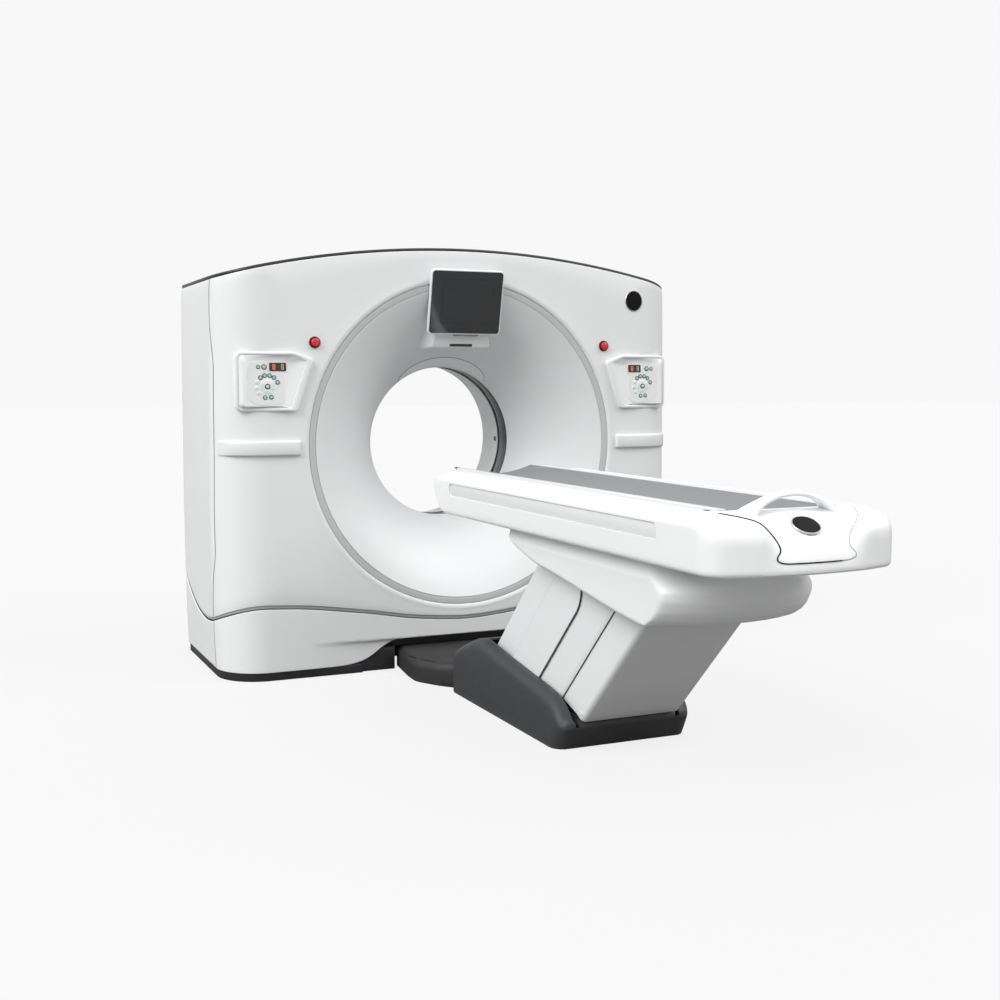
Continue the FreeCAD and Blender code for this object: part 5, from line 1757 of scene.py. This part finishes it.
def u_section(hw, web, tip, r, breaks):
    """A U seen along the strip: its web at one side, its legs open at the other."""
    d = 1 if tip > web else -1
    t = SHT

    def leg(n0, n1):
        k = sorted(set([n0, n1] + [b for b in breaks if min(n0, n1) < b < max(n0, n1)] + [lerp(n0, n1, i / 6) for i in range(1, 6)]))
        return k if n0 < n1 else k[::-1]

    outer = [(-hw, n) for n in leg(tip, web + d * r)]
    for i in range(1, 9):
        a = math.pi / 2 * i / 8
        outer.append((-hw + r - r * math.cos(a), web + d * r - d * r * math.sin(a)))
    outer += [(lerp(-hw + r, hw - r, i / 6), web) for i in range(1, 7)]
    for i in range(1, 9):
        a = math.pi / 2 * (1 - i / 8)
        outer.append((hw - r + r * math.cos(a), web + d * r - d * r * math.sin(a)))
    outer += [(hw, n) for n in leg(web + d * r, tip)[1:]]
    r2, h2, w2 = r - t, hw - t, web + d * t
    inner = [(h2, n) for n in leg(tip, w2 + d * r2)]
    for i in range(1, 9):
        a = math.pi / 2 * i / 8
        inner.append((h2 - r2 + r2 * math.cos(a), w2 + d * r2 - d * r2 * math.sin(a)))
    inner += [(lerp(h2 - r2, r2 - h2, i / 6), w2) for i in range(1, 7)]
    for i in range(1, 9):
        a = math.pi / 2 * (1 - i / 8)
        inner.append((-h2 + r2 - r2 * math.cos(a), w2 + d * r2 - d * r2 * math.sin(a)))
    inner += [(-h2, n) for n in leg(w2 + d * r2, tip)[1:]]
    return outer + inner


def side_section(hw, s, lo, hi, breaks, lo_cham=(0.0, 0.0), hi_cham=(0.0, 0.0), n=22):
    """One flat side of a strip, as (x, across); its edges can lean inwards."""
    ns = sorted(set([lo, hi] + [b for b in breaks if lo < b < hi] + [lerp(lo, hi, 0.5 - 0.5 * math.cos(math.pi * i / n)) for i in range(1, n)]))

    def drop(v):
        a = 0.0
        if lo_cham[0]:
            a = max(a, lo_cham[1] * clamp((lo + lo_cham[0] - v) / lo_cham[0]))
        if hi_cham[0]:
            a = max(a, hi_cham[1] * clamp((v - hi + hi_cham[0]) / hi_cham[0]))
        return a

    out = [(s * (hw - drop(v)), v) for v in ns]
    inn = [(s * (hw - SHT - drop(v)), v) for v in ns[::-1]]
    return out + inn


def corner_end(base, lo, r):
    """An end whose corner at the low side of the strip is rounded."""

    def f(n):
        d = n - lo
        if d >= r:
            return base(n)
        return base(n) - (r - math.sqrt(max(0.0, r * r - (r - d) ** 2)))

    return f


P_A, P_B, P_C, P_D = (-1.070, 0.130), (-1.2735, 0.130), (-1.5266, 0.130), (-1.870, 0.140)
a_lo = lerp_table([(-0.105, 0.050), (-0.020, -0.030), (0.0375, -0.030)])
a_hi = lerp_table([(-0.105, 0.790), (0.0375, 0.790)])
sa = strip_solid("strip_front", P_A, u_section(0.1925, 0.0375, -0.105, 0.012, [-0.020]), a_lo, a_hi, SHEETW)
put(sa, "strip_a", "strip_white", "cover_strip_a")

b_lo = lerp_table([(-0.150, 0.180), (-0.022, -0.030), (0.052, -0.030)])
b_hi = corner_end(lerp_table([(-0.150, 0.785), (0.052, 0.785)]), -0.150, 0.120)
c_lo = lerp_table([(-0.120, 0.090), (-0.020, -0.030), (0.040, -0.030), (0.0401, 0.430), (0.075, 0.500)])
c_hi = lerp_table([(-0.120, 0.810), (0.075, 0.785)])
partb, partc = [], []
for s in (-1, 1):
    partb.append(strip_solid("b", P_B, side_section(0.212, s, -0.150, 0.052, [-0.022, -0.060, 0.035], hi_cham=(0.017, 0.012)), b_lo, b_hi, SHEETW, 14))
    partc.append(strip_solid("c", P_C, side_section(0.2055, s, -0.120, 0.040, [-0.020, -0.105], lo_cham=(0.014, 0.0035)), c_lo, c_hi, SHEETW, 12))
    # the part of the third strip that runs on under the second one's round corner
    pc = prism("c2", [at45(P_C, a, n) for a, n in [(0.430, 0.036), (0.795, 0.036), (0.775, 0.078), (0.640, 0.098), (0.500, 0.098)]], "x", *sorted((s * 0.2052, s * (0.2055 - SHT + 0.0003))), SHEETW)
    partc.append(pc)
    # fine grey lines along the two folds of the second strip's chamfer, next to the first strip: painted shade on the
    # folds
    for n_, xo in ((0.0345, 0.0), (0.0515, 0.0122)):
        ln = [at45(P_B, a_, n_) for a_ in (-0.015, 0.30, 0.60, 0.780)]
        partb.append(wire("w", [(s * (0.2118 - xo), y_, z_) for y_, z_ in ln], 0.0007, RINGGREY))
    # dark lips along the edges that face the foot: painted shade for the gaps to the next strips
    for piv, lo, top, hw, r, a0, w, grp in ((P_B, -0.150, 0.785, 0.212, 0.120, 0.195, 0.0045, partb), (P_C, -0.120, 0.806, 0.2025, 0.004, 0.105, 0.0040, partc)):
        edge = [(a0, lo)]
        edge += [(lerp(a0, top - r, i / 8), lo) for i in range(1, 9)]
        edge += [(top - r + r * math.sin(math.pi / 2 * i / 12), lo + r - r * math.cos(math.pi / 2 * i / 12)) for i in range(1, 11)]
        offs = [(a0 - w * 0.6, lo - w)]
        offs += [(lerp(a0, top - r, i / 8), lo - w) for i in range(1, 9)]
        offs += [(top - r + (r + w) * math.sin(math.pi / 2 * i / 12), lo + r - (r + w) * math.cos(math.pi / 2 * i / 12)) for i in range(1, 11)]
        x0, x1 = sorted((s * (hw - 0.0006), s * (hw - SHT + 0.0006 if hw > 0.205 else 0.2004)))
        gap_shade_lip = prism("lip", [at45(piv, a, n) for a, n in edge + offs[::-1]], "x", x0, x1, BLACK, sharp=50)
        grp.append(gap_shade_lip)
put(join("strip_second", partb), "strip_b", "strip_white", "cover_strip_b")
put(join("strip_third", partc), "strip_c", "strip_white", "cover_strip_c")

d_lo = lerp_table([(-0.028, -0.015), (0.020, -0.030), (0.135, -0.095)])
d_hi = lerp_table([(-0.028, 0.670), (0.135, 0.500)])
sd = strip_solid("strip_foot", P_D, u_section(0.199, -0.028, 0.135, 0.019, [0.020]), d_lo, d_hi, SHEETW, 14)
# flush caps over the ends of the pivot pin
caps = []
for s in (-1, 1):
    ring_ = [(-1.870 + 0.0085 * math.cos(2 * math.pi * k / 32), 0.140 + 0.0085 * math.sin(2 * math.pi * k / 32)) for k in range(32)]
    cp = prism("cap", ring_, "x", *sorted((s * 0.1970, s * 0.20035)), SHEETW)
    bevel(cp, 0.0010, 3, 50)
    apply(cp, 36)
    caps.append(cp)
sd = join("strip_foot", [sd] + caps)
put(sd, "strip_d", "strip_white", "cover_strip_d")

# ------------------------------------------------------------- table's base
tub_top = table(
    [(-1.486, 0.088), (-1.4835, 0.098), (-1.478, 0.106), (-1.468, 0.114), (-1.455, 0.127), (-1.430, 0.149), (-1.400, 0.168), (-1.350, 0.184), (-1.280, 0.196), (-1.190, 0.2075), (-1.050, 0.2265), (-0.930, 0.2425), (-0.850, 0.2555), (-0.800, 0.2635), (-0.754, 0.2695), (-0.700, 0.262), (-0.631, 0.238), (-0.565, 0.213), (-0.502, 0.184), (-0.470, 0.160), (-0.450, 0.130), (-0.441, 0.104), (-0.438, 0.080)]
)
tub_low = lerp_table([(-1.486, 0.080), (-1.447, 0.0), (-0.438, 0.0)])


def tub_half(y, z):
    """Half width: round corners in plan, and a foot end that leans in below."""
    g = clamp((y + 0.438 + 0.075) / 0.075)
    foot = lerp(-1.447, -1.486, clamp(z / 0.080))
    e = clamp((foot + 0.052 - y) / 0.052)
    return 0.270 - 0.075 * (1 - math.sqrt(max(0.0, 1 - g * g))) - 0.052 * (1 - math.sqrt(max(0.0, 1 - e * e)))


def tub_ring(y, grow=0.0, low=None):
    zt = tub_top(y) + grow
    zb = tub_low(y) if low is None else low
    r = min(0.040, (zt - zb) * 0.48)
    side = [(tub_half(y, zb) + grow, zb)]
    side += [(tub_half(y, lerp(zb, zt - r, i / 9)) + grow + 0.0015 * math.sin(math.pi * i / 9), lerp(zb, zt - r, i / 9)) for i in range(1, 10)]
    hw = tub_half(y, zt - r) + grow
    for i in range(1, 9):
        a = math.pi / 2 * i / 8
        side.append((hw - r + r * math.cos(a), zt - r + r * math.sin(a)))
    right = [(x, F(y), z) for x, z in side]
    left = [(-x, F(y), z) for x, z in reversed(side)]
    return right + left


ty = [-0.438, -0.4395, -0.442, -0.446, -0.451, -0.458, -0.466, -0.476, -0.488, -0.502, -0.513]
ty += [-0.53, -0.55, -0.565, -0.60, -0.63, -0.66, -0.69, -0.72, -0.754, -0.78]
ty += [lerp(-0.80, -1.36, i / 16) for i in range(17)]
ty += [-1.375, -1.387, -1.398, -1.408, -1.417, -1.425, -1.432, -1.4385, -1.445, -1.451, -1.457, -1.462, -1.467, -1.471, -1.475, -1.4785, -1.4815, -1.484, -1.486]
tub = loft("table_base", [tub_ring(y) for y in ty], BASE, sharp=40)
inner = loft("t", [tub_ring(y, -0.006, -0.02) for y in [v for v in ty if -1.420 < v < -0.450]], BASE)
boolean(tub, inner)
boolean(tub, box("t", -0.217, 0.217, F(-1.5205), F(-0.755), 0.104, 0.40, BASE))
for s in (-1, 1):
    slot = [(F(-1.5200), 0.0935), (F(-1.4860), 0.0850), (F(-1.3950), 0.0610), (F(-1.3950), 0.40), (F(-1.5200), 0.40)]
    boolean(tub, prism("t", slot, "x", *sorted((s * 0.1945, s * 0.2110)), BASE))
put(tub, "base", "base_dark", "table_base_cover")

def slab(name, top, bot, mat, sharp=34):
    """A closed thin solid between two grids of points of the same size."""
    nr, nc = len(top), len(top[0])
    verts = [p for r in top for p in r] + [p for r in bot for p in r]
    k = nr * nc
    faces = []
    for i in range(nr - 1):
        for j in range(nc - 1):
            a = i * nc + j
            faces.append((a, a + 1, a + nc + 1, a + nc))
            faces.append((k + a, k + a + nc, k + a + nc + 1, k + a + 1))
    for i in range(nr - 1):
        for j in (0, nc - 1):
            a = i * nc + j
            faces.append((a, a + nc, k + a + nc, k + a))
    for j in range(nc - 1):
        for i in (0, nr - 1):
            a = i * nc + j
            faces.append((a, a + 1, k + a + 1, k + a))
    return from_data(name, verts, faces, mat, sharp)


# the end panel: half width at each angle round the body's end
pan_w = lerp_table(
    [(-2.4, 0.100), (-2.2, 0.109), (-1.7, 0.1195), (-0.9, 0.1280), (0.2, 0.1335), (1.5, 0.1355), (3.0, 0.1345), (4.6, 0.1300), (6.4, 0.1235), (8.2, 0.1198), (10.2, 0.1190), (13.0, 0.1205), (16.0, 0.1240), (20.0, 0.1300), (25.5, 0.1435), (33.0, 0.1650), (43.8, 0.1950), (56.0, 0.2200), (66.0, 0.2350)]
)
angs = [-2.4 + 68.4 * (i / 72) ** 1.25 for i in range(73)]
cols = [-1 + 2 * j / 36 for j in range(37)]
top_g, bot_g = [], []
for i, a in enumerate(angs):
    ar = math.radians(a)
    w = pan_w(a)
    rt, rb = [], []
    for u in cols:
        e = min(1.0, (1 - abs(u)) * w / 0.004, (a + 2.4) * 0.0041 / 0.004 + 0.0)
        lift = -0.0006 + 0.0022 * math.sqrt(max(0.0, 1 - (1 - clamp(e)) ** 2))
        rt.append(tuple(end_hit(u * w, ar, lift)))
        rb.append(tuple(end_hit(u * w, ar, -0.0030)))
    top_g.append(rt)
    bot_g.append(rb)
panel = slab("panel", top_g, bot_g, WHITE_GLOSS)
gap = []
left = [end_hit(-pan_w(a) - 0.0008, math.radians(a), 0.0010) for a in angs[::-1]]
low = [end_hit(x, math.radians(-2.45), 0.0010) for x in [-0.099 + 0.198 * i / 10 for i in range(1, 10)]]
right = [end_hit(pan_w(a) + 0.0008, math.radians(a), 0.0001) for a in angs]
# dark lines along the panel's edge, painted shade for its seam: wide and near black up the left side and along the
# bottom, fine and grey up the right side
seam_shade_wide = wire("seam", [tuple(p) for p in left + low], 0.0019, INK, seg=8)
seam_shade_fine = wire("seam", [tuple(p) for p in low[-1:] + right], 0.0010, SEAMGREY, seg=8)
b_a, b_b = end_hit(0.0, math.radians(26.0)), end_hit(0.0, math.radians(38.0))
bc = end_hit(0.0, math.radians(32.0))
bup = (b_b - b_a).normalized()
if bup.z < 0:
    bup = -bup
bnor = Vector((0, -bup.z, bup.y))
if bnor.z < 0:
    bnor = -bnor
end_badge = badge("badge_end", tuple(bc), tuple(bnor), tuple(bup), 0.0470, 0.0400, lift=0.0045)
panel = join("foot_panel", [panel, seam_shade_wide, seam_shade_fine])
put(panel, "tabletop", "casing_white", "end_panel")
put(end_badge, "tabletop", "trim_black")

# ------------------------------------------------------------ floor link
def link_outline(ins):
    half = [(0.318 - ins, F(0.068)), (0.345 - ins, F(-0.140)), (0.352 - ins, F(-0.255)), (0.288 - ins * 0.8, F(-0.372) + ins * 0.4), (0.236 - ins * 0.3, F(-0.4345))]
    pts = half + [(-x, y) for x, y in half[::-1]]
    rad = [0.0, 0.12, 0.13, 0.11, 0.004, 0.004, 0.11, 0.13, 0.12, 0.0]
    return rounded(pts, rad, 8)


rings = []
for i in range(11):
    a = math.pi / 2 * i / 10
    rings.append((0.040 * (1 - math.cos(a)), 0.060 + 0.040 * math.sin(a)))
zz = [(0.004, 0.0), (0.0, 0.004), (0.0, 0.030)] + rings
# the link wears the darker copy of the base finish: painted shade on its upward-facing top
flink = loft("floor_link", [[(x, y, z) for x, y in link_outline(ins)] for ins, z in zz], BASE_SHADED_COPY, sharp=40)
boolean(flink, box("t", -0.300, 0.300, F(-0.26), F(0.060), -0.02, 0.080, BASE))
for s in (-1, 1):
    for (xa, ya), (xb, yb) in (((0.3330, -0.130), (0.3300, -0.225)), ((0.3230, -0.262), (0.2900, -0.325))):
        d = Vector((xb - xa, yb - ya)).normalized()
        n = Vector((-d.y, d.x)) * 0.0032
        pts = [(s * (xa + n.x), F(ya + n.y)), (s * (xb + n.x), F(yb + n.y)), (s * (xb - n.x), F(yb - n.y)), (s * (xa - n.x), F(ya - n.y))]
        boolean(flink, prism("t", rounded(pts, 0.002, 3), "z", 0.060, 0.15, BASE))
put(flink, "base", "base_dark", "floor_link_cover")

# ------------------------------------------------------------------- skirt
def skirt_half(s):
    rows = []
    for inset, z in ((0.0095, 0.0012), (0.0085, 0.0004), (0.0085, 0.0), (0.020, 0.0), (0.020, 0.0376), (0.0100, 0.0376), (0.0088, 0.0366), (0.0085, 0.0350)):
        rows.append(inset_path(s, inset, z))
    return rows


def inset_path(s, inset, z):
    x1 = W - inset
    pts = [(s * 0.5, FACE + inset), (s * x1, FACE + inset), (s * x1, REAR - inset), (s * 0.0, REAR - inset)]
    r = RC - inset
    out = rounded([(s * 0.5, FACE - 1.0)] + pts[:3] + [(s * 0.0, REAR - inset), (s * 0.0, REAR + 1.0)], [0, 0, r, r, 0, 0], 16)
    return [(x, y, z) for x, y in out if FACE - 0.5 < y < REAR + 0.5]


sk = []
for s in (-1, 1):
    rows = skirt_half(s)
    rows.append(rows[0])
    n = len(rows[0])
    verts = [p for r in rows[:-1] for p in r]
    m = len(rows) - 1
    faces = []
    for i in range(m):
        for j in range(n - 1):
            a, b = i * n + j, ((i + 1) % m) * n + j
            faces.append((a, a + 1, b + 1, b))
    for j in (0, n - 1):
        faces.append(tuple(i * n + j for i in range(m)))
    sk.append(from_data("sk", verts, faces, BLACK, 40))
for x0, x1, z0 in ((-0.600, 0.600, 0.101), (-0.600, -0.343, 0.0), (0.343, 0.600, 0.0)):
    back = 0.045 if z0 > 0 else 0.024
    pl = box("w", x0, x1, F(back), F(back + 0.006), z0, 0.150 if z0 > 0 else 0.102, BLACK)
    bevel(pl, 0.0012, 2, 50)
    apply(pl)
    sk.append(pl)
for s in (-1, 1):
    a, b = sorted((s * 0.594, s * 0.600))
    pl = box("w", a, b, F(0.018), F(0.046), 0.0, 0.0377, BLACK)
    bevel(pl, 0.0010, 2, 50)
    apply(pl)
    sk.append(pl)
skirt = join("gantry_skirt", sk)
put(skirt, "base", "trim_black", "base_skirt")

bpy.context.view_layer.update()

# ---------------------------------------------------------------------- floor
bm = bmesh.new()
bmesh.ops.create_grid(bm, x_segments=1, y_segments=1, size=60)
fm, nt, fb = _new("floor_pale")
tc = nt.nodes.new("ShaderNodeTexCoord")
fn = nt.nodes.new("ShaderNodeTexNoise")
fn.inputs["Scale"].default_value = 3.0
nt.links.new(tc.outputs["Object"], fn.inputs["Vector"])
fr_ = nt.nodes.new("ShaderNodeMapRange")
fr_.inputs["To Min"].default_value = 0.55
fr_.inputs["To Max"].default_value = 0.65
nt.links.new(fn.outputs["Fac"], fr_.inputs["Value"])
nt.links.new(fr_.outputs["Result"], fb.inputs["Roughness"])
lp = nt.nodes.new("ShaderNodeLightPath")
fx = nt.nodes.new("ShaderNodeMix")
fx.data_type = "RGBA"
fx.inputs[6].default_value = (FLOOR_BOUNCE, FLOOR_BOUNCE, FLOOR_BOUNCE, 1)
fx.inputs[7].default_value = (FLOOR_SEEN, FLOOR_SEEN, FLOOR_SEEN, 1)
nt.links.new(lp.outputs["Is Camera Ray"], fx.inputs[0])
nt.links.new(fx.outputs[2], fb.inputs["Base Color"])
glow = nt.nodes.new("ShaderNodeMath")
glow.operation = "MULTIPLY"
glow.inputs[1].default_value = FLOOR_GLOW
nt.links.new(lp.outputs["Is Camera Ray"], glow.inputs[0])
fb.inputs["Emission Color"].default_value = (1, 1, 1, 1)
nt.links.new(glow.outputs[0], fb.inputs["Emission Strength"])
fb.inputs["Specular IOR Level"].default_value = 0.0
floor = finish_mesh("floor", bm, fm)

world = bpy.data.worlds.new("studio")
world.use_nodes = True
wn, wl = world.node_tree.nodes, world.node_tree.links
bg = wn["Background"]
wtc = wn.new("ShaderNodeTexCoord")
sep = wn.new("ShaderNodeSeparateXYZ")
wl.new(wtc.outputs["Generated"], sep.inputs[0])
wr = wn.new("ShaderNodeMapRange")
wr.inputs["From Min"].default_value = -0.1
wr.inputs["From Max"].default_value = 1.0
wr.inputs["To Min"].default_value = SKY_LOW
wr.inputs["To Max"].default_value = SKY_TOP
wl.new(sep.outputs["Z"], wr.inputs["Value"])
wr2 = wn.new("ShaderNodeMapRange")
wr2.inputs["From Min"].default_value = -1.0
wr2.inputs["From Max"].default_value = 1.0
wr2.inputs["To Min"].default_value = 1.0 + SKY_SIDE
wr2.inputs["To Max"].default_value = 1.0 - SKY_SIDE
wl.new(sep.outputs["X"], wr2.inputs["Value"])
wm = wn.new("ShaderNodeMath")
wm.operation = "MULTIPLY"
wl.new(wr.outputs["Result"], wm.inputs[0])
wl.new(wr2.outputs["Result"], wm.inputs[1])
wlp = wn.new("ShaderNodeLightPath")
wx = wn.new("ShaderNodeMix")
wx.data_type = "FLOAT"
wl.new(wlp.outputs["Is Camera Ray"], wx.inputs[0])
wl.new(wm.outputs[0], wx.inputs[2])
wx.inputs[3].default_value = 0.938
wl.new(wx.outputs[0], bg.inputs["Strength"])
bg.inputs["Color"].default_value = (1, 1, 1, 1)
bpy.context.scene.world = world


def sun(name, azimuth, elevation, strength, angle):
    """azimuth: where the light comes from, degrees from -Y towards -X."""
    d = bpy.data.lights.new(name, "SUN")
    d.energy = strength
    d.angle = math.radians(angle)
    o = bpy.data.objects.new(name, d)
    bpy.context.scene.collection.objects.link(o)
    a, e = math.radians(azimuth), math.radians(elevation)
    way = Vector((-math.sin(a) * math.cos(e), -math.cos(a) * math.cos(e), math.sin(e)))
    o.rotation_euler = way.to_track_quat("Z", "Y").to_euler()
    return o


sun("left", 72, 38, LEFT, 42)
sun("right", -62, 40, RIGHT, 40)

cam_d = bpy.data.cameras.new("camera")
cam_d.lens = 46.58
cam_d.sensor_width = 36.0
cam = bpy.data.objects.new("camera", cam_d)
bpy.context.scene.collection.objects.link(cam)
cam.location = (-2.274, -5.788, 1.292)
cam.rotation_euler = (math.radians(90 - 5.236), 0, math.radians(-24.256))
bpy.context.scene.camera = cam
bpy.context.scene.view_settings.view_transform = "Standard"
